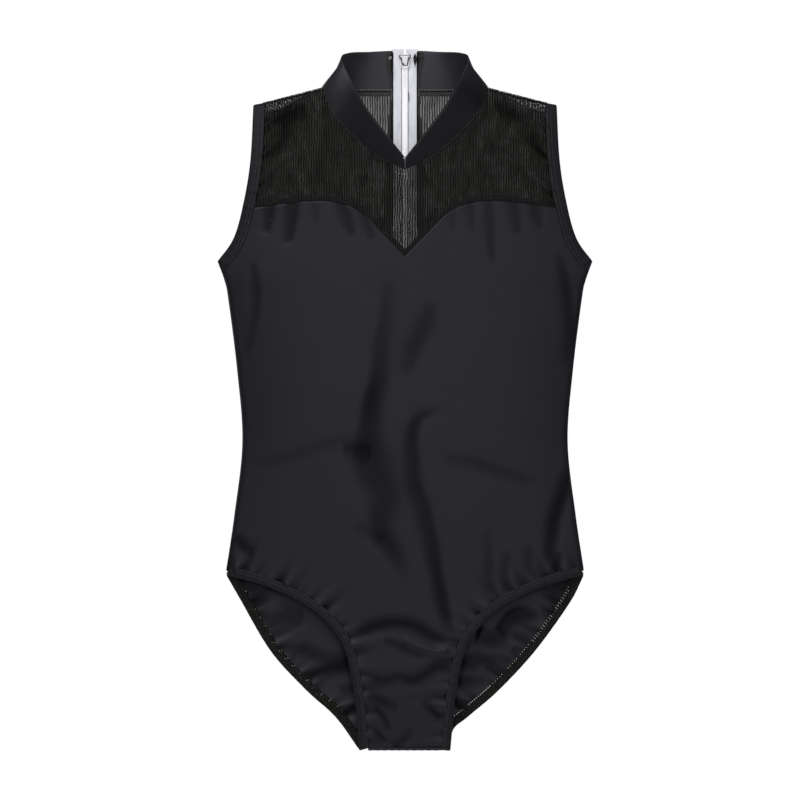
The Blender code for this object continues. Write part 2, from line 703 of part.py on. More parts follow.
def slider_outline(top_width, bottom_width):
    """A plate that is wide at the top, with its corners cut, as (x, z) points."""
    top, bottom, cut = SLIDER_TOP, SLIDER_TOP - SLIDER_LENGTH, SLIDER_CORNER
    right = [(bottom_width / 2 - cut, bottom), (bottom_width / 2, bottom + cut)]
    right += [(top_width / 2, top - cut), (top_width / 2 - cut, top)]
    return right + [(-x, z) for x, z in reversed(right)]


def zip_slider(pivot):
    """Two plates, one each side of the tape, joined by a thin wedge between the coils."""
    inner = slider_outline(SLIDER_TOP_WIDTH, SLIDER_BOTTOM_WIDTH)
    inner_plate = plate(inner, SLIDER_IN - SLIDER_PLATE, SLIDER_IN)
    slider = finish("zip_slider", inner_plate, WHITE_METAL, 0.3, 1.0, smooth=False)
    outer = slider_outline(SLIDER_OUTER_WIDTH, SLIDER_BOTTOM_WIDTH)
    combine(slider, plate(outer, SLIDER_OUT - SLIDER_PLATE, SLIDER_OUT), "UNION", "outer_plate")
    tip, base = SLIDER_TOP - WEDGE_LENGTH, SLIDER_TOP - WEDGE_BELOW_TOP
    wedge = ((0.0, tip), (WEDGE_HALF_WIDTH, base), (-WEDGE_HALF_WIDTH, base))
    overlap = SLIDER_PLATE / 2
    combine(slider, plate(wedge, SLIDER_IN - overlap, SLIDER_OUT - overlap), "UNION", "wedge")
    combine(slider, bail(), "UNION", "bail")
    hang(slider, pivot)


def bail():
    """The arch on the slider's outer plate that holds the pull tab's bar."""
    half, foot = BAIL_LENGTH / 2, SLIDER_OUT - SLIDER_PLATE / 2
    under = TAB_Y + TAB_THICKNESS / 2 + BAIL_ROOM
    over, leg = under + BAIL_THICKNESS, half - BAIL_THICKNESS
    low_cut, long_cut = BAIL_CORNER
    upper = [(foot, half), (over - low_cut, half), (over, half - long_cut)]
    arch = upper + [(y, -z) for y, z in reversed(upper)]
    arch += [(foot, -leg), (under, -leg), (under, leg), (foot, leg)]
    rings = [[Vector((x, y, TAB_Z + z)) for y, z in arch] for x in (-BAIL_WIDTH / 2, BAIL_WIDTH / 2)]
    return sweep(rings, closed=False)


def zip_pull_tab(slider_pivot):
    """A long pull that hangs from the bail by the bar above its slot."""
    half, bar = TAB_WIDTH / 2, TAB_THICKNESS / 2
    tip = bar - TAB_LENGTH + half
    outline = [(half, bar), (half, tip)]
    for turn in range(1, TAB_ROUND_STEPS):
        angle = math.pi * turn / TAB_ROUND_STEPS
        outline.append((half * math.cos(angle), tip - half * math.sin(angle)))
    outline += [(-half, tip), (-half, bar)]
    y = (TAB_Y - TAB_THICKNESS / 2, TAB_Y + TAB_THICKNESS / 2)
    made = plate([(x, TAB_Z + z) for x, z in outline], *y)
    tab = finish("zip_pull_tab", made, WHITE_METAL, 0.3, 1.0, smooth=False)
    slot_low = (-TAB_SLOT_WIDTH / 2, y[0] - SLOT_OVERCUT, TAB_Z - bar - TAB_SLOT_LENGTH)
    slot_high = (TAB_SLOT_WIDTH / 2, y[1] + SLOT_OVERCUT, TAB_Z - bar)
    combine(tab, block(slot_low, slot_high), "DIFFERENCE", "slot")
    hang(tab, empty("tab_pivot", (0.0, TAB_Y, TAB_Z), slider_pivot))


def empty(name, place, parent=None):
    """An empty on a joint's axis, at a world position."""
    made = bpy.data.objects.new(name, None)
    bpy.context.scene.collection.objects.link(made)
    if parent:
        made.parent = parent
        made.location = Vector(place) - parent.location
    else:
        made.location = place
    return made


def hang(part, pivot):
    """Parents a part, and any helpers it is cut or joined with, to a joint's empty without moving it."""
    shift = Vector((0.0, 0.0, 0.0))
    holder = pivot
    while holder:
        shift -= holder.location
        holder = holder.parent
    helpers = [m.object for m in part.modifiers if m.type == "BOOLEAN"]
    for item in (part, *helpers):
        item.parent = pivot
        item.location = shift


def zip_fastener():
    slider_pivot = empty("slider_travel", (0.0, ZIP_Y, SLIDER_TOP))
    zip_slider(slider_pivot)
    zip_pull_tab(slider_pivot)
    bottom_stop()
    for hand, word in ((LEFT, "left"), (RIGHT, "right")):
        pivot = empty(f"back_opening_{word}", (0.0, ZIP_Y, ZIP_PIVOT))
        zip_tape(hand, f"zip_tape_{word}", pivot)
        zip_coil(hand, f"zip_coil_{word}", pivot)
        top_stop(hand, f"zip_top_stop_{word}", pivot)


# ---------------------------------------------------------------- the whole garment

def clear_scene():
    for item in list(bpy.data.objects):
        bpy.data.objects.remove(item, do_unlink=True)


def main():
    clear_scene()
    front_body_panel()
    front_yoke_mesh()
    gusset_lining()
    for hand, word in ((LEFT, "left"), (RIGHT, "right")):
        back_body_panel(hand, f"back_body_panel_{word}")
        back_yoke_mesh(hand, f"back_yoke_mesh_{word}")
        collar(hand, f"collar_{word}")
        armhole_binding(hand, f"armhole_binding_{word}")
        leg_binding(hand, f"leg_binding_{word}")
        leg_elastic(hand, f"leg_elastic_{word}")
        side_seam(hand, f"side_seam_{word}")
        shoulder_seam(hand, f"shoulder_seam_{word}")
    back_seam()
    crotch_seam()
    zip_fastener()


main()
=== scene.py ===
"""Looks of the gymnastics leotard: cloth, bindings, stitching, zip, materials, light and camera.

Every soft piece is built again, finely, from the outline that its CAD part has, and follows the same body.
Sizes are in metres. +Z is up, the front faces -Y, and "left" names the -X half.
"""

import math

import bpy
import numpy as np
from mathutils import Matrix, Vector

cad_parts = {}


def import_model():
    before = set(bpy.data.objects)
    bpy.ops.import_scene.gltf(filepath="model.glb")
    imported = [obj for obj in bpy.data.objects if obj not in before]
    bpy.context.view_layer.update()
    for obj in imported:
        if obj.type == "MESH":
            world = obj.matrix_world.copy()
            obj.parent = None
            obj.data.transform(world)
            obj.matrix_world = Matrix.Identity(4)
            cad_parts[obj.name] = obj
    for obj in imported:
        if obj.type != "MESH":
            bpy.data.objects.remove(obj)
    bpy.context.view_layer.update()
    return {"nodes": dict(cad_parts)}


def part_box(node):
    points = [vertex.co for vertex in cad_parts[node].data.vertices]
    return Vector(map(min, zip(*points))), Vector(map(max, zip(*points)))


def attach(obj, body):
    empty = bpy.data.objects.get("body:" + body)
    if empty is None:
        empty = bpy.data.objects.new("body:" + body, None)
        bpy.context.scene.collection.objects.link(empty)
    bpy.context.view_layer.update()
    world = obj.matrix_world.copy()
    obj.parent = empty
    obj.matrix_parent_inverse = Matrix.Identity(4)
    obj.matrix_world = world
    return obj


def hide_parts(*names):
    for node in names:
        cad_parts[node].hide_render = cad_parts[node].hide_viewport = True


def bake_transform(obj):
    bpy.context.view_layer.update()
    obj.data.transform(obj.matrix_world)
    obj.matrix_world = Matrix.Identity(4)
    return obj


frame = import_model()

FRONT, BACK = -1, 1
HANDS = {-1: "left", 1: "right"}
MM = 0.001

# Outline of the right half, as (x, z)
HIP = (0.1705, 0.168)
ARMPIT = (0.178, 0.465)
SHOULDER_TIP = (0.144, 0.614)
NECK_POINT = (0.078, 0.630)
SIDE_LINE = (HIP, (0.162, 0.225), (0.1545, 0.294), (0.1595, 0.362), (0.168, 0.430), (0.1715, 0.447), ARMPIT)
ARMHOLE_LINE = (ARMPIT, (0.1625, 0.487), (0.153, 0.520), (0.1465, 0.560), SHOULDER_TIP)
FRONT_LEG_LINE = ((0.043, 0.0), (0.0485, 0.058), (0.060, 0.104), (0.087, 0.135), (0.128, 0.156), HIP)
LEFT_BACK_LEG_LINE = ((0.043, 0.0), (0.066, 0.031), (0.095, 0.0573), (0.1285, 0.0945), (0.1585, 0.1465), HIP)
RIGHT_BACK_LEG_LINE = ((0.043, 0.0), (0.046, 0.0195), (0.060, 0.0315), (0.090, 0.057), (0.1245, 0.0945),
                       (0.157, 0.1405), HIP)
YOKE_END = (0.1405, 0.516)
SWEETHEART_LINE = ((0.0, 0.469), (0.019, 0.4885), (0.042, 0.511), (0.066, 0.520), (0.095, 0.521), YOKE_END)
FRONT_SHOULDER_SEAM = ((0.0800, 0.6290), (0.1020, 0.6175), (0.1160, 0.6095), (0.1350, 0.6050))
COLLAR_SEAM_FRONT = ((0.0, 0.550), (0.028, 0.564), (0.052, 0.585), (0.069, 0.606))
COLLAR_SEAM_BACK = ((0.071, 0.6300), (0.045, 0.6294), (0.0, 0.6294))
COLLAR_TOP_FRONT = ((0.0, 0.5615), (0.017, 0.583), (0.037, 0.610), (0.050, 0.635), (0.060, 0.658))
COLLAR_TOP_BACK = ((0.053, 0.6645), (0.034, 0.6672), (0.014, 0.6688), (0.0, 0.6688))
COLLAR_TOP_HALF_WIDTH = 0.060
BACK_YOKE_DIP = 0.008

# How far the two sheets stand apart, as (depth, z) where it changes with height
EDGE_DEPTH = 0.0022
BODY_DEPTH = 0.020
DEPTH_LINE = ((0.0, 0.0), (0.009, 0.06), (0.014, 0.15), (0.018, 0.25), (BODY_DEPTH, 0.355),
              (BODY_DEPTH, 0.70))
SHOULDER_SLOPE = (NECK_POINT[1] - SHOULDER_TIP[1]) / (SHOULDER_TIP[0] - NECK_POINT[0])
NECK_RISE = 1.6
SHOULDER_FADE = 0.060
ARMHOLE_GAPE = 0.006
ROUNDNESS = 3
SEAM_CLOSING = 0.0045
SEAM_EDGE = 0.0010

# Thicknesses and widths
LYCRA = 0.0007
MESH_CLOTH = 0.0005
COLLAR_CLOTH = 0.0022
ALLOWANCE = 0.0012
THIN_ALLOWANCE = 0.0006
LEG_BINDING_WIDTH = 0.009
ARM_BINDING_WIDTH = 0.011
BINDING_HALF_HEIGHT = 0.0013
RAW_EDGE_IN_BINDING = 0.002
FOLD_RADIUS = 0.0036
FABRIC_EDGE = 0.005
CLEARANCE = 0.0001
ZIP_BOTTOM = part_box("zip_tape_left")[0].z

# Fineness of the cloth's grids: points across half a panel, and rows up it
COLUMNS = 96
PANEL_ROWS = 254
YOKE_ROWS = 90

# The cloth simulation's own, coarser grid
TRIAL_COLUMNS = 56
TRIAL_ROWS = 160
SETTLING_FRAMES = 20
SPARE_CLOTH = 0.10


# ---------------------------------------------------------------- lines

def xyz(x, y, z):
    """3D points from arrays or single numbers."""
    return np.stack(np.broadcast_arrays(x, y, z), axis=-1)


def smooth(points, steps=16):
    """A smooth line through the points."""
    p = np.asarray(points, float)
    p = np.vstack([2 * p[0] - p[1], p, 2 * p[-1] - p[-2]])
    t = np.linspace(0, 1, steps, endpoint=False)[:, None]
    spans = []
    for a, b, c, d in zip(p, p[1:], p[2:], p[3:]):
        bend = 2 * b + (c - a) * t + (2 * a - 5 * b + 4 * c - d) * t**2
        spans.append(0.5 * (bend + (3 * b - a - 3 * c + d) * t**3))
    return np.vstack([*spans, p[-2:-1]])


def run_of(line):
    """Distance along a line at each of its points."""
    steps = np.linalg.norm(np.diff(line, axis=0), axis=1)
    return np.concatenate([[0.0], np.cumsum(steps)])


def spaced(line, count):
    """The line as count + 1 points at even distances."""
    line = np.asarray(line, float)
    run = run_of(line)
    at = np.linspace(0, run[-1], count + 1)
    return np.stack([np.interp(at, run, c) for c in line.T], axis=1)


def unit(vectors):
    return vectors / np.linalg.norm(vectors, axis=-1, keepdims=True)


def outward(line):
    """Unit normals on the right of an (x, z) line that runs upwards."""
    along = np.gradient(line, axis=0)
    return unit(np.stack([along[:, 1], -along[:, 0]], axis=1))


def inset(line, distance):
    return line - outward(line) * distance


def extended(line, distance):
    """The line with a point added before its start, along its tangent."""
    return np.vstack([line[0] + unit(line[0] - line[1]) * distance, line])


def between(line, low, high):
    """The part of an (x, z) line between two heights."""
    return line[(line[:, 1] > low) & (line[:, 1] < high)]


def mirrored(points, hand=-1):
    """Points with x times hand: the left half is -1, and the right half stays as it is."""
    flipped = np.array(points, float)
    flipped[..., 0] *= hand
    return flipped


def both_halves(line):
    return np.vstack([mirrored(line[:0:-1]), line])


def nearest(line, x, z):
    """For each point (x, z): distance along a line of its nearest place, and signed distance from it."""
    line = spaced(line, max(8, int(run_of(line)[-1] / 0.0015)))
    run, normal = run_of(line), outward(line)
    flat = np.stack([x.ravel(), z.ravel()], axis=1)
    best = np.empty(len(flat), int)
    batch = 20000
    for start in range(0, len(flat), batch):
        part = flat[start : start + batch]
        gap = ((part[:, None, :] - line[None]) ** 2).sum(axis=2)
        best[start : start + batch] = gap.argmin(axis=1)
    away = flat - line[best]
    across = (away * normal[best]).sum(axis=1)
    along = away[:, 1] * normal[best, 0] - away[:, 0] * normal[best, 1]
    half_step = run[1] / 2
    past = np.maximum(np.abs(along) - half_step, 0)
    distance = np.where(across < 0, -1, 1) * np.hypot(across, past)
    place = run[best] + np.clip(along, -half_step, half_step)
    return place.reshape(x.shape), distance.reshape(x.shape)


SIDE = smooth(SIDE_LINE)
ARMHOLE = smooth(ARMHOLE_LINE)
FRONT_LEG = smooth(FRONT_LEG_LINE)
LEG_LINES = {(FRONT, -1): FRONT_LEG, (FRONT, 1): FRONT_LEG,
             (BACK, -1): smooth(LEFT_BACK_LEG_LINE), (BACK, 1): smooth(RIGHT_BACK_LEG_LINE)}
SWEETHEART = smooth(SWEETHEART_LINE)
DEPTH = smooth(DEPTH_LINE)
ARMHOLE_EDGE = extended(inset(ARMHOLE, ARM_BINDING_WIDTH - RAW_EDGE_IN_BINDING), 0.008)
YOKE_CORNER = np.array([np.interp(YOKE_END[1], ARMHOLE_EDGE[:, 1], ARMHOLE_EDGE[:, 0]), YOKE_END[1]])


# ---------------------------------------------------------------- the two sheets

def half_width(z):
    low = np.interp(np.maximum(z, HIP[1]), SIDE[:, 1], SIDE[:, 0])
    high = np.interp(z, ARMHOLE[:, 1], ARMHOLE[:, 0])
    return np.where(z > ARMPIT[1], high, low)


def shoulder_height(x):
    rise = np.where(np.abs(x) < NECK_POINT[0], NECK_RISE, SHOULDER_SLOPE)
    return NECK_POINT[1] + rise * (NECK_POINT[0] - np.abs(x))


def soft_half_width(z):
    """The half width averaged over a short height, so that the armpit makes no line across the chest."""
    return np.mean([half_width(z + step) for step in np.linspace(-0.02, 0.02, 9)], axis=0)


def sheet_depth(x, z):
    """How far the front and the back sheet each lie from the plane y = 0."""
    across = np.minimum(np.abs(x) / soft_half_width(z), 1)
    below = np.clip((shoulder_height(x) - z) / SHOULDER_FADE, 0, 1)
    body = np.minimum(np.interp(z, DEPTH[:, 1], DEPTH[:, 0]), BODY_DEPTH)
    body = body * (1 - across**ROUNDNESS) * (1 - (1 - below) ** 2)
    up_armhole = np.clip((z - ARMPIT[1]) / (SHOULDER_TIP[1] - ARMPIT[1]), 0, 1)
    gape = ARMHOLE_GAPE * np.sin(np.pi * up_armhole) ** 1.5 * across**ROUNDNESS
    return EDGE_DEPTH + body + gape


def closing(x, z):
    """How much nearer the sheets come as they meet along the sides and the shoulders."""
    from_side = np.where(z < ARMPIT[1], half_width(z) - np.abs(x), 1.0)
    from_shoulder = np.where(np.abs(x) > NECK_POINT[0] - 0.002, shoulder_height(x) - z, 1.0)
    near = np.clip((np.minimum(from_side, from_shoulder) - SEAM_EDGE) / SEAM_CLOSING, 0, 1)
    return (EDGE_DEPTH - CLEARANCE) * (1 - np.sqrt(1 - (1 - near) ** 2))


def placed(flat, side, out=0.0):
    """3D points of (x, z) points on the front or back sheet, moved outwards."""
    x, z = flat[..., 0], flat[..., 1]
    return xyz(x, side * (sheet_depth(x, z) + out), z)


def on_sheet(flat, side, relief):
    """3D points of (x, z) points on a sheet whose seams are closed, with a relief."""
    x, z = flat[..., 0], flat[..., 1]
    return xyz(x, side * (sheet_depth(x, z) - closing(x, z) + relief), z)


ZIP_Y = float(sheet_depth(0.0, ZIP_BOTTOM))


# ---------------------------------------------------------------- folds in the cloth

# Folds as (line, width, strength): lines and widths in millimetres, and a strength of 1 is the deepest, with
# the darkest painted shade
FRONT_FOLDS = (
    # left of the middle, from the belly up to the V, with two short tips on its left
    (((6, 146), (-9, 180), (-22, 206), (-24, 238), (-31, 262), (-36, 286), (-33, 322), (-26, 356), (-21, 394),
      (-15, 440), (-4, 466)),
     (6, 7, 9, 14, 15, 10, 8, 8, 7, 6, 4), (0.3, 0.6, 0.8, 0.62, 0.7, 0.8, 1.0, 0.6, 0.5, 0.35, 0.2)),
    (((-60, 284), (-48, 285), (-32, 282)), (7, 9, 10), (0.4, 0.6, 0.3)),
    (((-48, 214), (-36, 208), (-20, 198)), (6, 7, 7), (0.2, 0.3, 0.2)),
    # the short one below the V, and the long one with a hook at its top
    (((26, 430), (22, 410), (12, 382), (-2, 350)), (6, 9, 9, 6), (0.2, 0.5, 0.55, 0.3)),
    (((44, 323), (27, 321), (13, 314), (7, 297), (7, 270), (12, 245), (19, 220), (25, 197), (31, 163),
      (39, 128), (45, 98)),
     (4, 5, 6, 7, 8, 8, 7, 6, 6, 5, 4), (0.5, 0.7, 0.8, 0.7, 0.7, 0.7, 0.8, 0.85, 0.9, 0.9, 0.8)),
    # faint ones across the waist
    (((30, 279), (71, 271), (102, 261), (130, 252)), (5, 6, 6, 5), (0.2, 0.35, 0.4, 0.2)),
    (((-150, 268), (-96, 282), (-46, 300)), 7, (0.15, 0.25, 0.2)),
    # beside the right side seam and above the leg, and under the armholes
    (((157, 272), (150, 240), (141, 206), (137, 172)), (5, 7, 7, 5), (0.5, 0.9, 0.9, 0.6)),
    (((148, 190), (142, 172), (138, 162)), 4, (0.6, 0.8, 0.6)),
    (((78, 212), (79, 186), (80, 164), (86, 147)), 5, (0.2, 0.4, 0.5, 0.4)),
    (((97, 192), (95, 168), (98, 149)), 4, (0.3, 0.55, 0.5)),
    (((116, 196), (118, 176), (127, 162)), 5, (0.3, 0.5, 0.4)),
    (((-146, 470), (-141, 424), (-147, 396), (-152, 368)), (4, 5, 5, 4), (0.3, 0.45, 0.4, 0.2)),
    (((145, 476), (156, 432), (158, 394), (152, 358)), (4, 6, 6, 4), (0.5, 0.6, 0.6, 0.3)),
    (((-164, 205), (-154, 194), (-142, 187)), 6, (0.5, 0.8, 0.4)),
    # across the crotch
    (((-50, 107), (-35, 118), (-18, 122), (-4, 122), (11, 119), (25, 111), (42, 103)),
     (5, 7, 7, 7, 7, 6, 5), (0.5, 0.8, 0.9, 0.9, 0.9, 0.8, 0.6)),
    (((-40, 75), (-22, 68), (-5, 71), (8, 68), (20, 75), (32, 82), (52, 78)),
     (4, 5, 5, 6, 6, 6, 4), (0.6, 0.8, 0.7, 0.85, 0.8, 0.85, 0.5)),
    (((-22, 108), (-5, 100), (20, 90)), (4, 5, 4), (0.4, 0.6, 0.4)),
    (((-36, 56), (-22, 49), (-5, 41)), (4, 5, 5), (0.6, 0.8, 0.4)),
    (((-31, 44), (-20, 33), (-14, 19)), 3, (0.6, 0.8, 0.5)),
    (((-31, 21), (-24, 16), (-17, 9)), 3, (0.6, 0.8, 0.4)),
    (((8, 24), (-2, 10), (-12, 3)), 4, (0.2, 0.6, 0.6)),
    (((15, 50), (26, 40), (37, 30)), 4, (0.4, 0.8, 0.6)),
)
# A raised crease, which catches the light, as (line, width, height)
FRONT_RIDGES = (
    (((-6, 110), (17, 100), (31, 96.5), (42, 101), (54, 102)), (3.4, 3, 2.6, 2.6, 2.2),
     (0.8, 1.6, 2.4, 2.4, 1.4)),
)
BACK_FOLDS = (
    (((-136, 121), (-118, 130), (-96, 125)), (6, 8, 6), (0.4, 0.6, 0.4)),
    (((-118, 93), (-100, 99), (-83, 93), (-69, 89), (-38, 89)), (5, 7, 6, 6, 6), (0.4, 0.7, 0.6, 0.6, 0.6)),
    (((-100, 67), (-83, 75), (-69, 80), (-54, 82), (-38, 76)), (4, 5, 6, 6, 5), (0.7, 1.0, 1.0, 1.0, 0.8)),
    (((-64, 58), (-54, 61), (-38, 62)), 5, (0.3, 0.7, 0.7)),
    (((-68, 32), (-54, 40), (-38, 42)), 4, (0.5, 0.7, 0.7)),
    (((88, 108), (93, 115), (100, 124), (111, 130), (130, 131)), (6, 6, 6, 6, 5), (0.6, 0.8, 0.9, 0.9, 0.5)),
    (((68, 111), (82, 107), (98, 112)), 7, (0.6, 0.8, 0.4)),
    (((102, 114), (115, 109), (126, 105)), 4, (0.4, 0.6, 0.5)),
    (((50, 80), (58, 82), (69, 86), (80, 88), (104, 86)), (5, 6, 6, 6, 5), (0.6, 0.7, 0.7, 0.6, 0.4)),
    (((102, 99), (108, 97), (115, 95)), 3, 0.6),
    (((75, 80), (83, 76), (92, 71)), 4, (0.4, 0.7, 0.5)),
    (((50, 64), (62, 67), (78, 68)), 5, (0.6, 0.7, 0.4)),
    (((46, 47), (54, 45), (64, 42)), 4, (0.7, 0.7, 0.4)),
    (((-40, 330), (-75, 285), (-124, 256)), 9, (0.3, 0.6, 0.4)),
    (((38, 322), (72, 276), (128, 246)), 9, (0.3, 0.6, 0.4)),
    (((-20, 262), (-52, 226), (-112, 204)), 8, (0.3, 0.5, 0.4)),
    (((22, 240), (60, 206), (118, 190)), 8, (0.3, 0.5, 0.4)),
    (((60, 470), (52, 420), (62, 372)), 8, (0.2, 0.4, 0.2)),
    (((-66, 460), (-56, 412), (-60, 366)), 8, (0.2, 0.4, 0.2)),
)
# Where the sweetheart seam draws the body in, as (x, lean, length, width, strength)
SWEETHEART_PUCKERS = (
    (-128, -4, 30, 6, 0.7), (-106, -5, 44, 7, 0.75), (-86, 4, 26, 5, 0.35), (-58, 10, 34, 6, 0.65),
    (-38, 9, 26, 5, 0.5), (44, 2, 22, 5, 0.3), (62, 3, 30, 5, 0.4), (80, 3, 64, 5, 0.5), (104, 5, 34, 6, 0.5),
    (124, 6, 24, 6, 0.5),
)
YOKE_FOLDS = (
    (((-130, 597), (-118, 600), (-104, 606), (-94, 616)), (6, 10, 9, 5), (0.5, 0.9, 0.8, 0.4)),
    (((-112, 590), (-118, 574), (-132, 560)), (5, 5, 4), (0.6, 0.6, 0.5)),
    (((118, 602), (104, 603), (92, 610), (84, 622)), (5, 7, 6, 4), (0.4, 0.7, 0.7, 0.4)),
    (((120, 588), (126, 572), (134, 560)), (5, 6, 4), (0.5, 0.6, 0.5)),
    (((-66, 600), (-74, 570), (-78, 540)), 7, (0.2, 0.3, 0.1)),
    (((-20, 566), (-46, 586), (-64, 610)), 5, (0.5, 0.5, 0.3)),
    (((24, 568), (50, 590), (66, 612)), 5, (0.4, 0.5, 0.3)),
)
SUNK = 0.36
FULL_GATHER = 0.0022
FADING_END = 0.15
WANDER = 0.12
WANDER_PITCH = 0.060


def ripple(run, pitch, seed):
    """An uneven wave along a seam, from -1 to 1."""
    rng = np.random.default_rng(seed)
    wave = np.zeros_like(run)
    for stretch, weight in ((1.0, 0.5), (0.71, 0.3), (1.53, 0.25)):
        wave += weight * np.sin(2 * np.pi * run / (pitch * stretch) + rng.uniform(0, 6.28))
    return wave


def stroke(x, z, points, width, strength):
    """A soft furrow along a line: its local width and strength. It falls off more slowly on the right."""
    line = smooth(points)
    run, side = nearest(line, x, z)
    share = run / run_of(line)[-1]
    fade = np.clip(np.minimum(share, 1 - share) / FADING_END, 0, 1)
    fade = fade * fade * (3 - 2 * fade)
    local = [np.interp(share, np.linspace(0, 1, len(v)), v) for v in map(np.atleast_1d, (width, strength))]
    side = side + WANDER * local[0] * ripple(run, WANDER_PITCH, len(points))
    spread = local[0] * np.where(side < 0, 0.85, 1.2)
    return local[0], local[1] * fade * np.exp(-np.abs(side / spread) ** 2.2)


def gathers(x, z, line, pitch, reach, height, seed, slant=-0.15):
    """Small folds that run away from a seam and die out: the seam's thread or elastic draws the cloth in."""
    run, side = nearest(line, x, z)
    lengths = reach * (0.75 + 0.45 * ripple(run, pitch * 3.1, seed + 1))
    fade = np.exp(-np.maximum(np.abs(side) - 0.001, 0) / np.maximum(lengths, 0.002))
    return height * fade * ripple(run - slant * np.abs(side), pitch, seed)


def folded(x, z, folds, ridges, relief):
    """Adds folds to a relief. Returns it with the painted shade that each point gets for lying in a fold,
    from 0 to 1.
    """
    # the valleys of the gathers get painted shade, full at FULL_GATHER down
    painted_fold_shade = np.clip(-relief / FULL_GATHER, 0, 1)
    for points, width, strength in folds:
        wide, mark = stroke(x, z, np.array(points) * MM, np.array(width) * MM, strength)
        relief = relief - SUNK * wide * mark
        painted_fold_shade = painted_fold_shade + mark
    for points, width, height in ridges:
        relief = relief + stroke(x, z, np.array(points) * MM, np.array(width) * MM, np.array(height) * MM)[1]
    return relief, np.clip(painted_fold_shade, 0, 1)


def leg_gathers(x, z, side, seed):
    """The puckers that each leg's elastic draws in: long ones, and short ones beside the binding."""
    total = np.zeros_like(x)
    for hand in HANDS:
        line = mirrored(inset(LEG_LINES[side, hand], LEG_BINDING_WIDTH), hand)
        total += gathers(x, z, line, 0.0175, 0.0135, 0.0021, seed + hand)
        total += gathers(x, z, line, 0.0080, 0.0045, 0.0005, seed + 5 + hand)
    return total


def front_relief(x, z):
    """How far the front body stands out from its sheet, and the painted shade that its folds give it."""
    puckers = []
    for at, lean, length, width, strength in SWEETHEART_PUCKERS:
        top = np.interp(abs(at) * MM, SWEETHEART[:, 0], SWEETHEART[:, 1]) / MM
        low = (at + lean, top - length)
        line = ((at - lean / 3, top + length / 3), (at + lean * 0.3, top - length * 0.4), low)
        puckers.append((line, (width, width, width / 2), strength))
    return folded(x, z, (*FRONT_FOLDS, *puckers), FRONT_RIDGES, leg_gathers(x, z, FRONT, 20))


def back_relief(x, z):
    return folded(x, z, BACK_FOLDS, (), leg_gathers(x, z, BACK, 40))


def yoke_relief(x, z):
    """Ripples of the mesh along the armhole bindings."""
    total = np.zeros_like(x)
    for hand in HANDS:
        total += gathers(x, z, mirrored(ARMHOLE_EDGE, hand), 0.0125, 0.0130, 0.0022, 60 + hand, 1.0)
    return folded(x, z, YOKE_FOLDS, (), total)


# ---------------------------------------------------------------- meshes

STRIP_COLUMNS = 5


def new_object(name, verts, faces, uv, material):
    """An object from points, faces and each point's place in the cloth, in metres."""
    mesh = bpy.data.meshes.new(name)
    mesh.from_pydata(np.asarray(verts, float).reshape(-1, 3).tolist(), [], faces)
    layer = mesh.uv_layers.new(name="cloth")
    corner = np.empty(len(mesh.loops), np.int32)
    mesh.loops.foreach_get("vertex_index", corner)
    layer.data.foreach_set("uv", np.asarray(uv, np.float32).reshape(-1, 2)[corner].ravel())
    mesh.shade_smooth()
    mesh.materials.append(material)
    made = bpy.data.objects.new(name, mesh)
    bpy.context.scene.collection.objects.link(made)
    return made


def grid_faces(rows, columns, flip=False, wrap_rows=False, wrap_columns=False):
    index = np.arange(rows * columns).reshape(rows, columns)
    if wrap_rows:
        index = np.vstack([index, index[:1]])
    if wrap_columns:
        index = np.hstack([index, index[:, :1]])
    quads = np.stack([index[:-1, :-1], index[:-1, 1:], index[1:, 1:], index[1:, :-1]], axis=-1).reshape(-1, 4)
    return (quads[:, ::-1] if flip else quads).tolist()


def cloth_piece(name, points, uv, flip, thickness, material):
    """A panel from a grid of 3D points, given the cloth's thickness inwards."""
    made = new_object(name, points, grid_faces(*points.shape[:2], flip), uv, material)
    solidify = made.modifiers.new("thickness", "SOLIDIFY")
    solidify.thickness = thickness
    solidify.offset = -1
    return made


def strip_between(name, first, second, thickness, material):
    """A flat strip of cloth between two 3D lines."""
    shares = np.linspace(0, 1, STRIP_COLUMNS)
    grid = np.stack([first * (1 - share) + second * share for share in shares], axis=1)
    along, across = np.broadcast_arrays(run_of(first)[:, None], 0.006 * shares)
    return cloth_piece(name, grid, np.stack([along, across], axis=-1), False, thickness, material)


def sweep(name, rings, material, closed=True):
    """A tube through rings of points. Its UV map runs along it and round it, in metres."""
    rings = np.asarray(rings, float)
    count, size = rings.shape[:2]
    faces = grid_faces(count, size, wrap_rows=closed, wrap_columns=True)
    if not closed:
        faces += [list(range(size))[::-1], list(range((count - 1) * size, count * size))]
    along = np.repeat(run_of(rings[:, 0])[:, None], size, axis=1)
    round_it = np.stack([run_of(ring) for ring in rings])
    made = new_object(name, rings, faces, np.stack([along, round_it], axis=-1), material)
    made.data.set_sharp_from_angle(angle=math.radians(50))
    return made


def tube(name, path, radius, material, sides=6):
    """A round thread along a 3D path."""
    along = unit(np.gradient(path, axis=0))
    helper = np.where(np.abs(along[:, [2]]) > 0.9, np.array([[1.0, 0, 0]]), np.array([[0, 0, 1.0]]))
    first = unit(np.cross(along, helper))
    second = np.cross(along, first)
    angle = (np.arange(sides) * 2 * math.pi / sides)[None, :, None]
    ring = np.cos(angle) * first[:, None] + np.sin(angle) * second[:, None]
    return sweep(name, path[:, None] + ring * radius, material, closed=False)


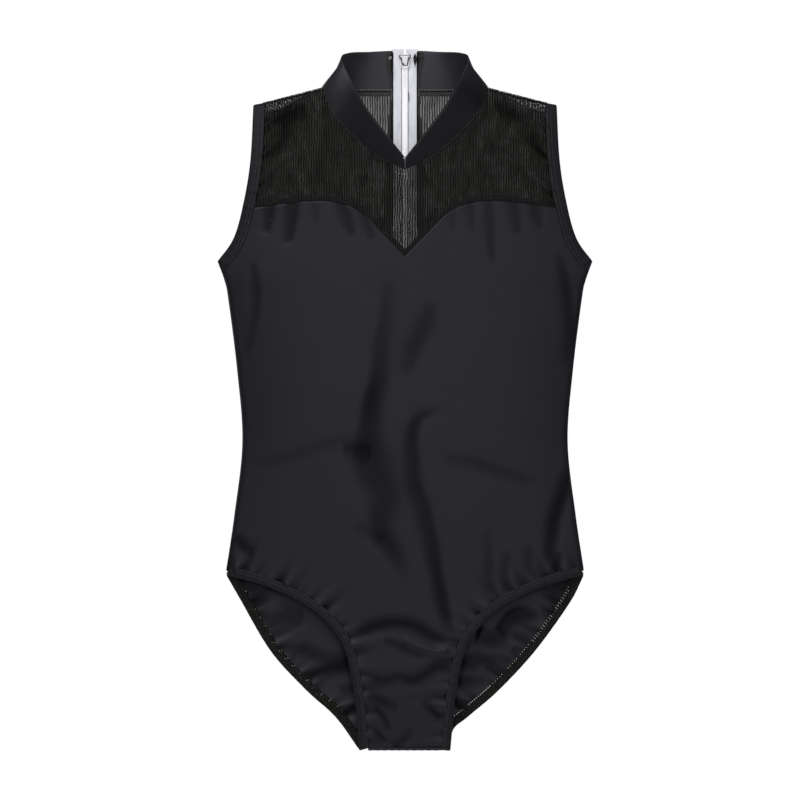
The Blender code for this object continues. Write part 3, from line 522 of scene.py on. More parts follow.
def stitches(name, path, material, length, radius, cover, normal=(0.0, -1.0, 0.0)):
    """A row of stitches along a 3D path: short threads that dip into the cloth at both ends."""
    count, sides = int(run_of(path)[-1] / length), 6
    fine = spaced(path, count * 4)
    shares = [np.linspace(0, 1, number) for number in (len(fine), len(path))]
    up = np.stack([np.interp(*shares, c) for c in np.broadcast_to(normal, path.shape).T], axis=1)
    angle = (np.arange(sides) * 2 * math.pi / sides)[:, None]
    verts, faces = [], []
    for i in range(count):
        part, lift = fine[i * 4 : i * 4 + 5], up[i * 4 : i * 4 + 5]
        along = unit(part[4] - part[0])
        for k, (size, rise) in enumerate(((0.35, -0.6), (1.0, 0.4), (1.0, 0.6), (1.0, 0.4), (0.35, -0.6))):
            centre = part[2] + (part[k] - part[2]) * cover + lift[k] * radius * rise
            across = np.cross(along, lift[k])
            verts.extend(centre + radius * size * (np.cos(angle) * across + np.sin(angle) * lift[k]))
        base = i * 5 * sides
        faces += [[base + k for k in face] for face in grid_faces(5, sides, wrap_columns=True)]
        faces += [[base + k for k in range(sides)][::-1], [base + 4 * sides + k for k in range(sides)]]
    verts = np.array(verts)
    return new_object(name, verts, faces, verts[:, [0, 2]] + verts[:, [1]], material)


def coons(bottom, top, left, right):
    """A grid of (x, z) points that fills four border lines, from the bottom row up."""
    up = np.linspace(0, 1, len(left))[:, None, None]
    across = np.linspace(0, 1, len(bottom))[None, :, None]
    rows = bottom[None] * (1 - up) + top[None] * up
    columns = left[:, None] * (1 - across) + right[:, None] * across
    corners = (bottom[0] * (1 - across) + bottom[-1] * across) * (1 - up)
    corners = corners + (top[0] * (1 - across) + top[-1] * across) * up
    return rows + columns - corners


# ---------------------------------------------------------------- materials

FOLD_SHADE = 0.34
HIDDEN_SHADE = 0.1
BODY_BLACK = (0.0062, 0.0061, 0.0088)
LINT = (0.30, 0.31, 0.33)
SHEEN_BLUE = (0.93, 0.91, 1.0)
MESH_BLACK = (0.0040, 0.0040, 0.0034)
MESH_LETS_LIGHT = 0.85
SEEN_THROUGH = (0.012, 0.185)
SEEN_THROUGH_THIN = 0.60
WHITE_TAPE = (0.95, 0.95, 0.97)
GREY_TAPE = (0.62, 0.63, 0.72)
ENAMEL_WHITE = (0.80, 0.80, 0.82)
WHITE = (1.0, 1.0, 1.0, 1.0)


def rgba(colour, factor=1.0):
    """A colour with its alpha, made darker or lighter by a factor."""
    return (*(c * factor for c in colour), 1.0)


class Nodes:
    """A node tree, built a node at a time."""

    def __init__(self, tree):
        self.tree = tree

    def join(self, socket, value):
        if isinstance(value, bpy.types.NodeSocket):
            self.tree.links.new(value, socket)
        else:
            socket.default_value = value

    def node(self, kind, inputs=(), **settings):
        made = self.tree.nodes.new(kind)
        for name, value in settings.items():
            setattr(made, name, value)
        for name, value in dict(inputs).items():
            self.join(made.inputs[name], value)
        return made

    def math(self, operation, a, b=0.0, clamp=False):
        return self.node("ShaderNodeMath", {0: a, 1: b}, operation=operation, use_clamp=clamp).outputs[0]


class Shader(Nodes):
    """A material with one Principled surface."""

    def __init__(self, name, colour, roughness, specular=0.5):
        self.material = bpy.data.materials.new(name)
        self.material.use_nodes = True
        super().__init__(self.material.node_tree)
        self.surface = self.tree.nodes["Principled BSDF"]
        self.set("Base Color", rgba(colour))
        self.set("Roughness", roughness)
        self.set("Specular IOR Level", specular)

    def set(self, socket, value):
        self.join(self.surface.inputs[socket], value)

    def uv(self, across=1.0, along=1.0):
        """The cloth's own coordinates in metres, stretched."""
        place = self.node("ShaderNodeUVMap", uv_map="cloth").outputs[0]
        scaled = self.node("ShaderNodeVectorMath", {0: place, 1: (across, along, 1.0)}, operation="MULTIPLY")
        return scaled.outputs[0]

    def attribute(self, name):
        return self.node("ShaderNodeAttribute", attribute_name=name).outputs["Fac"]

    def depth_of(self, vector):
        """A vector's Y part."""
        return self.node("ShaderNodeSeparateXYZ", {0: vector}).outputs[1]

    def noise(self, vector, scale=1.0, detail=2.0):
        made = self.node("ShaderNodeTexNoise", {"Vector": vector, "Scale": scale, "Detail": detail})
        return made.outputs["Fac"]

    def wave(self, scale, direction="X", **shape):
        inputs = {"Vector": self.uv(), "Scale": scale}
        inputs.update({name.replace("_", " "): value for name, value in shape.items()})
        return self.node("ShaderNodeTexWave", inputs, bands_direction=direction).outputs["Fac"]

    def between(self, share, low, high):
        """A value that goes from low to high as share goes from 0 to 1."""
        made = self.node("ShaderNodeMapRange", {"Value": share, "To Min": low, "To Max": high})
        return made.outputs[0]

    def blend(self, share, first, second):
        """A colour between two others."""
        return self.node("ShaderNodeMix", {0: share, 6: first, 7: second}, data_type="RGBA").outputs[2]

    def bump(self, height, strength, distance):
        made = self.node("ShaderNodeBump", {"Height": height, "Strength": strength, "Distance": distance})
        self.set("Normal", made.outputs[0])


def lint(shader, colour):
    """A few tiny pale fibres caught on the cloth, one in some of its cells."""
    spacing, radius, share_of_cells = 0.016, 0.017, 0.10
    cells = shader.node("ShaderNodeTexVoronoi", {"Vector": shader.uv(), "Scale": 1 / spacing})
    near = shader.math("LESS_THAN", cells.outputs["Distance"], radius)
    pick = shader.node("ShaderNodeSeparateColor", {0: cells.outputs["Color"]}).outputs[0]
    rare = shader.math("LESS_THAN", pick, share_of_cells)
    return shader.blend(shader.math("MULTIPLY", near, rare), colour, rgba(LINT))


def lycra(name, colour=BODY_BLACK, roughness=0.40, specular=0.21, fibre=0.25, fold_shade=FOLD_SHADE):
    """Smooth stretch knit with a soft sheen: fine wales, uneven colour, painted shade in the folds, a painted
    shadow on the inside of the back, and a little lint.
    """
    shader = Shader(name, colour, roughness, specular)
    facing = shader.node("ShaderNodeNewGeometry").outputs["True Normal"]
    inside = shader.math("LESS_THAN", shader.depth_of(facing), 0.0)
    # painted shadow on inner faces, and painted shade in the folds: both darken the colour and the specular
    hidden = shader.math("MULTIPLY", shader.attribute("shadow"), inside)
    painted_fold_shade = shader.attribute("fold")
    tone = shader.blend(shader.noise(shader.uv(), 22.0), rgba(colour, 0.86), rgba(colour, 1.12))
    tone = shader.blend(painted_fold_shade, tone, rgba(colour, fold_shade))
    tone = shader.blend(hidden, tone, rgba(colour, HIDDEN_SHADE))
    shine = shader.between(painted_fold_shade, specular, specular * fold_shade)
    shader.set("Base Color", lint(shader, tone))
    shine = shader.math("MULTIPLY", shine, shader.between(hidden, 1.0, HIDDEN_SHADE))
    shader.set("Specular IOR Level", shine)
    shader.set("Specular Tint", rgba(SHEEN_BLUE))
    uneven = shader.noise(shader.uv(), 60.0)
    shader.set("Roughness", shader.between(uneven, roughness - 0.05, roughness + 0.05))
    shader.set("Sheen Weight", 0.06)
    shader.set("Sheen Roughness", 0.4)
    shader.set("Sheen Tint", (0.72, 0.74, 0.85, 1.0))
    fuzz = shader.noise(shader.uv(), 1400.0)
    shader.bump(shader.math("ADD", shader.wave(420.0), fuzz), fibre, 0.00006)
    return shader.material


def overlocked():
    """The inner face of a binding, covered by a dense dark seam with a few pale specks of thread."""
    shader = Shader("binding_inside", (0.004, 0.004, 0.0034), 0.7, 0.08)
    threads = shader.noise(shader.uv(1100.0, 900.0))
    speckle = shader.math("GREATER_THAN", threads, 0.60)
    shader.set("Base Color", shader.blend(speckle, (0.0042, 0.0042, 0.0036, 1.0), (0.034, 0.034, 0.032, 1.0)))
    shader.bump(threads, 0.8, 0.0003)
    return shader.material


def power_mesh():
    """Sheer ribbed knit. The camera sees a little through its ribs, and light passes through more easily."""
    shader = Shader("power_mesh", MESH_BLACK, 0.6, 0.12)
    ribs = shader.wave(132.0, Distortion=4.0, Detail=2.0, Detail_Scale=0.7)
    uneven = shader.between(shader.noise(shader.uv(520.0, 60.0)), 0.1, 1.9)
    patches = shader.between(shader.noise(shader.uv(90.0, 45.0), detail=3.0), 0.25, 1.5)
    rib = shader.math("MULTIPLY", ribs, shader.math("MULTIPLY", uneven, patches), clamp=True)
    seen = shader.between(shader.math("POWER", rib, 1.4), *SEEN_THROUGH)
    speckle = shader.math("GREATER_THAN", shader.noise(shader.uv(700.0, 420.0), detail=3.0), 0.55)
    gaps = shader.math("MULTIPLY", shader.attribute("thin"), speckle)
    gaps = shader.math("MULTIPLY", gaps, SEEN_THROUGH_THIN)
    # painted shade in the folds: darker, less shiny and less see-through
    painted_fold_shade = shader.attribute("fold")
    seen = shader.math("MULTIPLY", shader.math("MAXIMUM", seen, gaps), shader.between(painted_fold_shade, 1.0, 0.3))
    # the sheet has two faces, so each passes the root of what the cloth does
    camera = shader.node("ShaderNodeLightPath").outputs["Is Camera Ray"]
    clear = shader.math("ADD", shader.math("MULTIPLY", camera, shader.math("SQRT", seen)),
                        shader.math("MULTIPLY", shader.math("SUBTRACT", 1.0, camera), MESH_LETS_LIGHT))
    shader.set("Alpha", shader.math("SUBTRACT", 1.0, clear))
    tone = shader.blend(rib, rgba(MESH_BLACK, 0.4), rgba(MESH_BLACK, 3.0))
    shader.set("Base Color", shader.blend(painted_fold_shade, tone, rgba(MESH_BLACK, FOLD_SHADE)))
    shine = shader.math("MULTIPLY", shader.between(rib, 0.02, 0.19), shader.between(painted_fold_shade, 1.0, 0.25))
    shader.set("Specular IOR Level", shine)
    shader.bump(rib, 0.9, 0.0003)
    return shader.material


def thread(name, colour, roughness=0.55):
    shader = Shader(name, colour, roughness, 0.4)
    shader.bump(shader.wave(900.0, "DIAGONAL"), 0.4, 0.00005)
    return shader.material


def zip_cloth():
    """White herringbone tape with vertical warp streaks and greyer patches."""
    shader = Shader("zip_tape", WHITE_TAPE, 0.75, 0.3)
    streak = shader.noise(shader.uv(700.0, 12.0))
    # bluish grey patches at random across the tape
    grey_patches = shader.between(shader.noise(shader.uv(150.0, 45.0), detail=3.0), -0.6, 1.5)
    clean = shader.math("MINIMUM", streak, grey_patches, clamp=True)
    shader.set("Base Color", shader.blend(clean, rgba(GREY_TAPE), rgba(WHITE_TAPE)))
    weft = shader.math("MULTIPLY", shader.wave(330.0, "Y"), 0.5)
    shader.bump(shader.math("ADD", shader.wave(210.0), weft), 0.5, 0.0002)
    return shader.material


def nylon():
    shader = Shader("zip_nylon", (0.92, 0.92, 0.94), 0.32)
    # a faint white glow: painted light that keeps the coil white in its own shade
    shader.set("Emission Color", WHITE)
    shader.set("Emission Strength", 0.22)
    return shader.material


def enamel():
    """White paint on cast metal, which wears through a little where it rubs. Where its surface turns to the
    side it gets painted shade, dark grey, which outlines the part.
    """
    shader = Shader("zip_enamel", ENAMEL_WHITE, 0.28)
    geometry = shader.node("ShaderNodeNewGeometry").outputs
    grey_patches = shader.math("GREATER_THAN", shader.noise(geometry["Position"], 900.0, 4.0), 0.71)
    towards_view = shader.math("ABSOLUTE", shader.depth_of(geometry["Normal"]))
    # painted shade on faces turned away from the view, standing in for the contact shadow round the part
    painted_rim_shade = shader.math("LESS_THAN", towards_view, 0.975)
    tone = shader.blend(painted_rim_shade, rgba(ENAMEL_WHITE), (0.10, 0.10, 0.11, 1.0))
    shader.set("Base Color", shader.blend(grey_patches, tone, (0.42, 0.42, 0.43, 1.0)))
    shader.set("Metallic", shader.math("MULTIPLY", grey_patches, 0.9))
    return shader.material


BODY = lycra("body_lycra")
COLLAR = lycra("collar_lycra", (0.0120, 0.0118, 0.0160), 0.44, 0.40, fold_shade=0.12)
BINDING = lycra("binding_lycra", (0.0050, 0.0049, 0.0068), 0.46, 0.15, 0.4)
BINDING_INSIDE = overlocked()
MESH = power_mesh()
BLACK_THREAD = thread("black_thread", (0.040, 0.040, 0.044))
WHITE_THREAD = thread("white_thread", (0.75, 0.75, 0.76))
GREY_THREAD = thread("grey_thread", (0.075, 0.075, 0.080))
# dark thread; also drawn as painted shadow lines by the coil and round the slider's plate
CORD_AND_SHADOW = thread("cord_and_shadow", (0.035, 0.035, 0.042))
ELASTIC = thread("elastic_weave", (0.60, 0.60, 0.58), 0.7)
TAPE = zip_cloth()
NYLON = nylon()
ENAMEL = enamel()


# ---------------------------------------------------------------- how pieces follow the CAD's bodies


def still(obj, slot, *nodes, body="garment"):
    """A piece that rides one body, the garment's main one or another, and stands for these CAD nodes."""
    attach(obj, body)
    if nodes:
        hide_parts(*nodes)


def opens(obj, hand, slot, *nodes):
    """A piece beside the zip, fixed where it lies: its place is baked into its mesh, and it stands for these
    CAD nodes, which are hidden.
    """
    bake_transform(obj)
    if nodes:
        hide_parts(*nodes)


# ---------------------------------------------------------------- cloth simulation

def weight_group(made, name, weights):
    """A vertex group that holds these weights, rounded to a few levels."""
    group = made.vertex_groups.new(name=name)
    steps = 24
    levels = np.round(weights.ravel() * steps).astype(int)
    for level in np.unique(levels):
        group.add(np.flatnonzero(levels == level).tolist(), level / steps, "REPLACE")
    return name


def add_cloth(made, held, slack):
    """Knit that is fixed where held is 1, and has most spare cloth where slack is 1."""
    cloth = made.modifiers.new("settling", "CLOTH")
    rules = cloth.settings
    rules.quality = 6
    rules.mass = 0.15
    rules.tension_stiffness = rules.compression_stiffness = 15
    rules.shear_stiffness = 5
    rules.bending_stiffness = 0.35
    rules.tension_damping = rules.compression_damping = rules.shear_damping = 5
    rules.air_damping = 5
    rules.vertex_group_mass = weight_group(made, "held", held)
    rules.vertex_group_shrink = weight_group(made, "slack", slack)
    rules.shrink_min = 0.0
    rules.shrink_max = -SPARE_CLOTH
    rules.effector_weights.gravity = 0.1
    cloth.collision_settings.use_collision = False
    cloth.point_cache.frame_end = SETTLING_FRAMES


def places(mesh):
    found = np.empty(len(mesh.vertices) * 3, np.float32)
    mesh.vertices.foreach_get("co", found)
    return found.reshape(-1, 3).astype(float)


def from_ends(count):
    """How many steps each place in a row lies from the row's nearer end."""
    return np.minimum(np.arange(count), np.arange(count)[::-1])


def held_and_slack(flat, side):
    """Held along the borders, less so in the middle. Slack beside the leg holes and below the top seam."""
    rows, columns = flat.shape[:2]
    _, from_leg = nearest(LEG_LINES[side, 1], np.abs(flat[..., 0]), flat[..., 1])
    _, from_top = nearest(SWEETHEART, np.abs(flat[..., 0]), flat[..., 1])
    near_leg = np.exp(-((from_leg / 0.040) ** 2))
    near_top = np.exp(-((from_top / 0.020) ** 2)) * (side == FRONT)
    held = 0.9 - 0.9 * np.clip(1.3 * near_leg + 1.2 * near_top, 0, 1)
    held[np.minimum(from_ends(columns)[None, :], from_ends(rows)[:, None]) == 0] = 1.0
    return held, np.clip(near_leg + 0.7 * near_top, 0, 1)


def settle(panels):
    """Lets panels of cloth buckle between their seams. Returns how far each point of each grid moved."""
    trials = {}
    for name, (flat, side) in panels.items():
        points = on_sheet(flat, side, 0.3 * leg_gathers(flat[..., 0], flat[..., 1], side, 20))
        trial = new_object(f"trial_{name}", points, grid_faces(*flat.shape[:2], side == BACK), flat, BODY)
        add_cloth(trial, *held_and_slack(flat, side))
        trials[name] = trial
    for number in range(1, SETTLING_FRAMES + 1):
        bpy.context.scene.frame_set(number)
    moves = {}
    for name, trial in trials.items():
        after = places(trial.evaluated_get(bpy.context.evaluated_depsgraph_get()).data)
        moves[name] = (after - places(trial.data)).reshape(*panels[name][0].shape[:2], 3)
    for trial in trials.values():
        bpy.data.objects.remove(trial)
    bpy.context.scene.frame_set(1)
    return moves


def resampled(grid, rows, columns):
    """A grid of values stretched to a finer one, and smoothed."""
    for axis, count in ((0, rows), (1, columns)):
        at = np.linspace(0, grid.shape[axis] - 1, count)
        low = np.minimum(at.astype(int), grid.shape[axis] - 2)
        share = (at - low).reshape([-1 if a == axis else 1 for a in range(3)])
        grid = np.take(grid, low, axis) * (1 - share) + np.take(grid, low + 1, axis) * share
    for _ in range(3):
        grid[1:-1] = (grid[:-2] + 2 * grid[1:-1] + grid[2:]) / 4
        grid[:, 1:-1] = (grid[:, :-2] + 2 * grid[:, 1:-1] + grid[:, 2:]) / 4
    return grid


# ---------------------------------------------------------------- body panels

GUSSET_TOP = 0.125


def body_border(leg_line, rows):
    """The right border of a body panel: up the leg hole, the side and the lower armhole."""
    leg = inset(leg_line, LEG_BINDING_WIDTH - RAW_EDGE_IN_BINDING)
    leg = between(leg, FOLD_RADIUS, HIP[1] - 0.0003)
    side = between(SIDE, HIP[1] + 0.0005, ARMPIT[1] - 0.0005)
    arm = between(ARMHOLE_EDGE, ARMPIT[1] + 0.003, YOKE_END[1])
    return spaced(np.vstack([(leg[0, 0], FOLD_RADIUS), leg, side, arm, YOKE_CORNER]), rows)


def front_flat(columns, rows):
    right = body_border(FRONT_LEG, rows)
    left = mirrored(right)
    bottom = spaced((left[0], right[0]), 2 * columns)
    top = spaced(np.vstack([SWEETHEART[:-1], right[-1]]), columns)
    return coons(bottom, both_halves(top), left, right)


def back_yoke_line(end, columns):
    share = np.linspace(0, 1, columns + 1)
    x = FABRIC_EDGE + (end[0] - FABRIC_EDGE) * share
    return np.stack([x, end[1] - BACK_YOKE_DIP * (1 - share**2)], axis=1)


def back_flat(hand, columns, rows):
    right = body_border(LEG_LINES[BACK, hand], rows)
    bottom = spaced(((CLEARANCE, FOLD_RADIUS), right[0]), columns)
    top = back_yoke_line(right[-1], columns)
    slit = ((CLEARANCE, ZIP_BOTTOM - 0.004), (FABRIC_EDGE, ZIP_BOTTOM + 0.004))
    middle = spaced((bottom[0], *slit, top[0]), rows)
    return mirrored(coons(bottom, top, middle, right), hand)


def store(made, name, values):
    """Keeps a number from 0 to 1 for each point, which a material reads."""
    layer = made.data.attributes.new(name, "FLOAT", "POINT")
    layer.data.foreach_set("value", np.clip(values, 0, 1).astype(np.float32).ravel())


def inner_shadow(x, z):
    """Where the front's leg edge and the side seams shade the inside of the back."""
    _, gap = nearest(extended(FRONT_LEG, 0.001), np.abs(x), z)
    under_edge = np.exp(-((np.clip(gap - 0.0005, 0, 1) / 0.0036) ** 2)) * (gap > -0.004)
    strength = np.interp(z, (0.02, 0.06, 0.10, 0.15), (0.2, 0.4, 0.7, 1.0)) * np.where(x < 0, 1.0, 0.6)
    corner = np.clip((np.abs(x) - 0.128) / 0.014, 0, 1) * np.clip((z - 0.118) / 0.012, 0, 1)
    return np.maximum(under_edge * strength, 0.5 * corner)


def thinned(x, z):
    """Where the mesh is a single stretched layer above the front shoulder seam."""
    seam = np.array(FRONT_SHOULDER_SEAM)
    above = (z - np.interp(np.abs(x), seam[:, 0], seam[:, 1])) / 0.004
    return np.clip(above, 0, 1) * (np.abs(x) > seam[0, 0]) * (np.abs(x) < seam[-1, 0] + 0.004)


def panel(name, flat, side, relief_of, thickness, material, lift=0.0, flip=False, shift=None):
    """A panel on a sheet, from its outline's grid and its relief."""
    x, z = np.moveaxis(flat, -1, 0)
    relief, painted_fold_shade = relief_of(x, z)
    points = on_sheet(flat, side, relief + lift + thickness / 2)
    if shift is not None:
        points += resampled(shift, *flat.shape[:2])
    made = cloth_piece(name, points, flat, (side == BACK) != flip, thickness, material)
    # painted shade for the folds, and painted shadow on the inside of the back
    store(made, "fold", painted_fold_shade)
    if side == BACK and material == BODY:
        store(made, "shadow", inner_shadow(x, z))
    if material == MESH:
        store(made, "thin", thinned(x, z))
    return made


def body():
    """The front and the two halves of the back, with the folds that settling gave them."""
    coarse = {"front_body": (front_flat(TRIAL_COLUMNS, TRIAL_ROWS), FRONT)}
    for hand, word in HANDS.items():
        coarse[f"back_body_{word}"] = (back_flat(hand, TRIAL_COLUMNS, TRIAL_ROWS), BACK)
    moves = settle(coarse)
    flat = front_flat(COLUMNS, PANEL_ROWS)
    made = panel("front_body", flat, FRONT, front_relief, LYCRA, BODY, shift=moves["front_body"])
    still(made, "lycra", "front_body_panel")
    for hand, word in HANDS.items():
        name, flat = f"back_body_{word}", back_flat(hand, COLUMNS, PANEL_ROWS)
        made = panel(name, flat, BACK, back_relief, LYCRA, BODY, flip=hand < 0, shift=moves[name])
        opens(made, hand, "lycra", f"back_body_panel_{word}")


def gusset():
    columns = rows = 60
    right = between(inset(FRONT_LEG, LEG_BINDING_WIDTH), FOLD_RADIUS, GUSSET_TOP)
    right = spaced(np.vstack([(right[0, 0], FOLD_RADIUS), right]), rows)
    left = mirrored(right)
    flat = coons(spaced((left[0], right[0]), columns), spaced((left[-1], right[-1]), columns), left, right)
    made = panel("gusset_lining", flat, FRONT, front_relief, LYCRA, BINDING, -0.0016)
    still(made, "lycra", "crotch_gusset_lining")


def crotch_strip():
    """Cloth that carries the front panel round the fold at the bottom to the back panels."""
    half = 0.043 - LEG_BINDING_WIDTH + 0.001
    across = np.linspace(-half, half, 60)[:, None]
    turn = np.linspace(0, math.pi, 15)
    radius = EDGE_DEPTH + LYCRA / 2
    sag = 0.00012 * np.sin(across * 900)
    points = xyz(across, -radius * np.cos(turn), FOLD_RADIUS + 0.0002 - (radius + sag) * np.sin(turn))
    made = cloth_piece("crotch_strip", points, points[..., :2], True, LYCRA, BODY)
    still(made, "lycra", "crotch_seam")


# ---------------------------------------------------------------- yokes

def yoke_side():
    top = np.array([ARMHOLE_EDGE[-1, 0], shoulder_height(ARMHOLE_EDGE[-1, 0]) - 0.0002])
    line = between(ARMHOLE_EDGE, YOKE_END[1] + 0.001, top[1] - 0.001)
    return spaced(np.vstack([(line[0, 0], YOKE_END[1]), line, top]), YOKE_ROWS)


def yoke_top(seam, corner):
    """The upper border: a little way under the collar's seam, then along the shoulder."""
    shoulder = spaced((seam[-1] - (0, 0.0002), corner), COLUMNS // 3)
    return np.vstack([spaced(seam, COLUMNS - COLUMNS // 3), shoulder[1:]])


def front_yoke():
    right = yoke_side()
    foot = spaced(np.vstack([SWEETHEART[:-1], right[0]]) - (0, 0.0015), COLUMNS)
    seam = smooth((*COLLAR_SEAM_FRONT, NECK_POINT)) + (0, 0.002)
    seam[-1] = NECK_POINT
    flat = coons(both_halves(foot), both_halves(yoke_top(seam, right[-1])), mirrored(right), right)
    made = panel("front_yoke", flat, FRONT, yoke_relief, MESH_CLOTH, MESH, -0.0004)
    still(made, "power_mesh", "front_yoke_mesh")


def back_yoke(hand, word):
    right = yoke_side()
    foot = back_yoke_line(right[0], COLUMNS) - (0, 0.0015)
    seam = smooth((NECK_POINT, *COLLAR_SEAM_BACK))[::-1]
    seam = seam[seam[:, 0] > FABRIC_EDGE]
    top = yoke_top(np.vstack([(FABRIC_EDGE, seam[0, 1]), seam]) + (0, 0.001), right[-1])
    flat = mirrored(coons(foot, top, spaced((foot[0], top[0]), YOKE_ROWS), right), hand)
    made = panel(f"back_yoke_{word}", flat, BACK, yoke_relief, MESH_CLOTH, MESH, -0.0004, flip=hand < 0)
    opens(made, hand, "power_mesh", f"back_yoke_mesh_{word}")


# ---------------------------------------------------------------- collar

COLLAR_STATIONS = 150
COLLAR_FACE = 14
COLLAR_CROWN = 7
# Painted shade on the collar, for how the light falls on it, from the middle of its front to that of its
# back, as (share of the way), (shade)
COLLAR_SHADE = (0, 0.1, 0.3, 0.40, 0.46, 0.52, 0.6), (0.86, 0.88, 0.92, 0.86, 0.66, 0.35, 0.10)
# the right half's painted shade reaches further round, so it is painted darker
RIGHT_SHADE_SHIFT = 0.09
# less painted shade on the rounded top edge: a painted highlight along it
CROWN_SHADE = 0.7


def collar_lines():
    """The right half's seam and top edge as 3D lines, from the middle of the front to that of the back."""
    lift = COLLAR_CLOTH / 2 - LYCRA / 2
    seam = [placed(np.array(points), side, lift)
            for side, points in ((FRONT, COLLAR_SEAM_FRONT), (0, (NECK_POINT,)), (BACK, COLLAR_SEAM_BACK))]
    top = []
    for side, points in ((FRONT, COLLAR_TOP_FRONT), (BACK, COLLAR_TOP_BACK)):
        x, z = np.array(points).T
        top.append(xyz(x, side * (ZIP_Y + lift) * (1 - (x / COLLAR_TOP_HALF_WIDTH) ** ROUNDNESS), z))
    return smooth(np.vstack(seam)), smooth(np.vstack(top))


def collar(hand, word):
    """Half of the stand collar: a band folded double, with a rounded top edge and a soft roll at the seam."""
    seam, top = (spaced(line, COLLAR_STATIONS) for line in collar_lines())
    half = COLLAR_CLOTH / 2
    along = np.vstack([seam[1:], seam[-1:]]) - np.vstack([seam[:1], seam[:-1]])
    rise = top - seam
    normal, up = unit(np.cross(along, rise))[:, None], unit(rise)[:, None]

    def face(shares, side, swell):
        out = side * half * (0.80 + swell * np.sin(np.pi * shares))
        return seam[:, None] + (rise[:, None] - up * half) * shares + normal * out

    shares = np.linspace(0, 1, COLLAR_FACE)[:, None]
    turn = np.linspace(0, np.pi, COLLAR_CROWN + 2)[1:-1, None]
    crown = top[:, None] - up * half + normal * half * 0.8 * np.cos(turn) + up * half * np.sin(turn)
    rings = np.concatenate([face(shares, 1, 0.35), crown, face(shares[::-1], -1, 0.25)], axis=1)
    rings[0, :, 0] = 0.00004
    rings[-1, :, 0] = FABRIC_EDGE
    rings = mirrored(rings, hand)
    made = sweep(f"collar_half_{word}", rings if hand < 0 else rings[:, ::-1], COLLAR, closed=False)
    # the fold attribute here holds only painted shade, with a painted highlight on the crown
    way = np.linspace(0, 1, len(rings)) - (RIGHT_SHADE_SHIFT if hand > 0 else 0)
    painted_shade_across = np.ones(rings.shape[1])
    painted_shade_across[COLLAR_FACE - 1 : COLLAR_FACE + COLLAR_CROWN + 1] = CROWN_SHADE
    store(made, "fold", np.outer(np.interp(way, *COLLAR_SHADE), painted_shade_across))
    opens(made, hand, "collar_lycra", f"collar_{word}")


# ---------------------------------------------------------------- bindings

STITCH_ROWS = (0.16, 0.46)
FACE_POINTS = 15
BINDING_ROW = {"length": 0.0024, "radius": 0.00022, "cover": 0.88}
DOTS = {"length": 0.0029, "radius": 0.00026, "cover": 0.30}
SPARSE_DOTS = {"length": 0.0090, "radius": 0.00018, "cover": 0.08}
SOLID_ROW = {"length": 0.0024, "radius": 0.00024, "cover": 0.80}
# The white thread on the leg bindings' inner face, as (place across, part of the loop, stitch)
BOBBIN_ROWS = {
    1: ((0.04, (0.53, 0.80), DOTS), (0.24, (0.54, 0.68), DOTS), (0.04, (0.80, 0.93), SOLID_ROW)),
    -1: ((0.06, (0.54, 0.90), SPARSE_DOTS), (0.30, (0.66, 0.86), SPARSE_DOTS)),
}


def binding_section(width):
    """Outline of a folded binding, as (across, up) from its middle, with two rows sunk by their stitches."""
    edge, height = width / 2, BINDING_HALF_HEIGHT
    top = []
    for share in np.linspace(0, 1, FACE_POINTS):
        sunk = sum(math.exp(-(((share - row) / 0.05) ** 2)) for row in STITCH_ROWS)
        thin_edge = 0.25 * (share < 0.01)
        top.append((-edge + (width - height) * share, height * (1 - 0.22 * sunk - thin_edge)))
    crown = edge - height
    fold = [(crown + height * math.sin(a), height * math.cos(a)) for a in np.linspace(0, math.pi, 9)[1:-1]]
    return np.array(top + fold + [(across, -up) for across, up in reversed(top)])


def elastic_section(width):
    far, across, half = width / 2 - 0.0008, 0.005, 0.0003
    return np.array(((far - across, -half), (far, -half), (far, half), (far - across, half)))


def trimmed(line, low, high, count):
    """Part of an edge between two heights, with its normals."""
    kept = spaced(between(spaced(line, 2000), low, high), count)
    return kept, outward(kept)


def pucker(i):
    """How a drawn-in binding waves, at its i-th cross-section."""
    return 0.00022 * math.sin(i * 1.1) + 0.00016 * math.sin(i * 0.47 + 1.0)


def sheet_rings(edge, section, width, side, waves):
    """Cross-sections set on a sheet, with their outer edge along a line."""
    rings = []
    for point, normal, wave in zip(*edge, waves):
        rings.append(placed(point + normal * (section[:, :1] - width / 2), side, section[:, 1] + wave))
    return rings


def fold_rings(start, end, side, section, width, outwards):
    """Cross-sections that carry a binding round a fold, from one sheet to the other."""
    rings = []
    reach = section[:, :1] - width / 2
    depths = [sheet_depth(*(point + normal * reach).T) for point, normal in (start, end)]
    for share in np.linspace(0, 1, 13)[1:-1]:
        point = start[0] * (1 - share) + end[0] * share
        normal = unit(start[1] * (1 - share) + end[1] * share)
        away = np.array((-normal[1], normal[0]))
        away = away if away @ outwards > 0 else -away
        radius = depths[0] * (1 - share) + depths[1] * share + section[:, 1]
        flat = point + normal * reach
        flat = flat + away * ((EDGE_DEPTH + section[:, 1]) * math.sin(math.pi * share))[:, None]
        rings.append(xyz(flat[:, 0], side * radius * math.cos(math.pi * share), flat[:, 1]))
    return rings


def binding_loop(front, back, section, width, far_fold, near_fold, wave):
    """Rings up the front edge, over the far fold, down the back edge and round the near fold."""
    (front_first, front_last), (back_first, back_last) = (
        [(line[i], normals[i]) for i in (0, -1)] for line, normals in (front, back))
    count = len(front[0])
    rings = sheet_rings(front, section, width, FRONT, [wave * pucker(i) for i in range(count)])
    rings += fold_rings(front_last, back_last, FRONT, section, width, far_fold)
    down = [part[::-1] for part in back]
    rings += sheet_rings(down, section, width, BACK, [wave * pucker(i + 7) for i in range(count)])
    rings += fold_rings(back_first, front_first, BACK, section, width, near_fold)
    return np.array(rings)


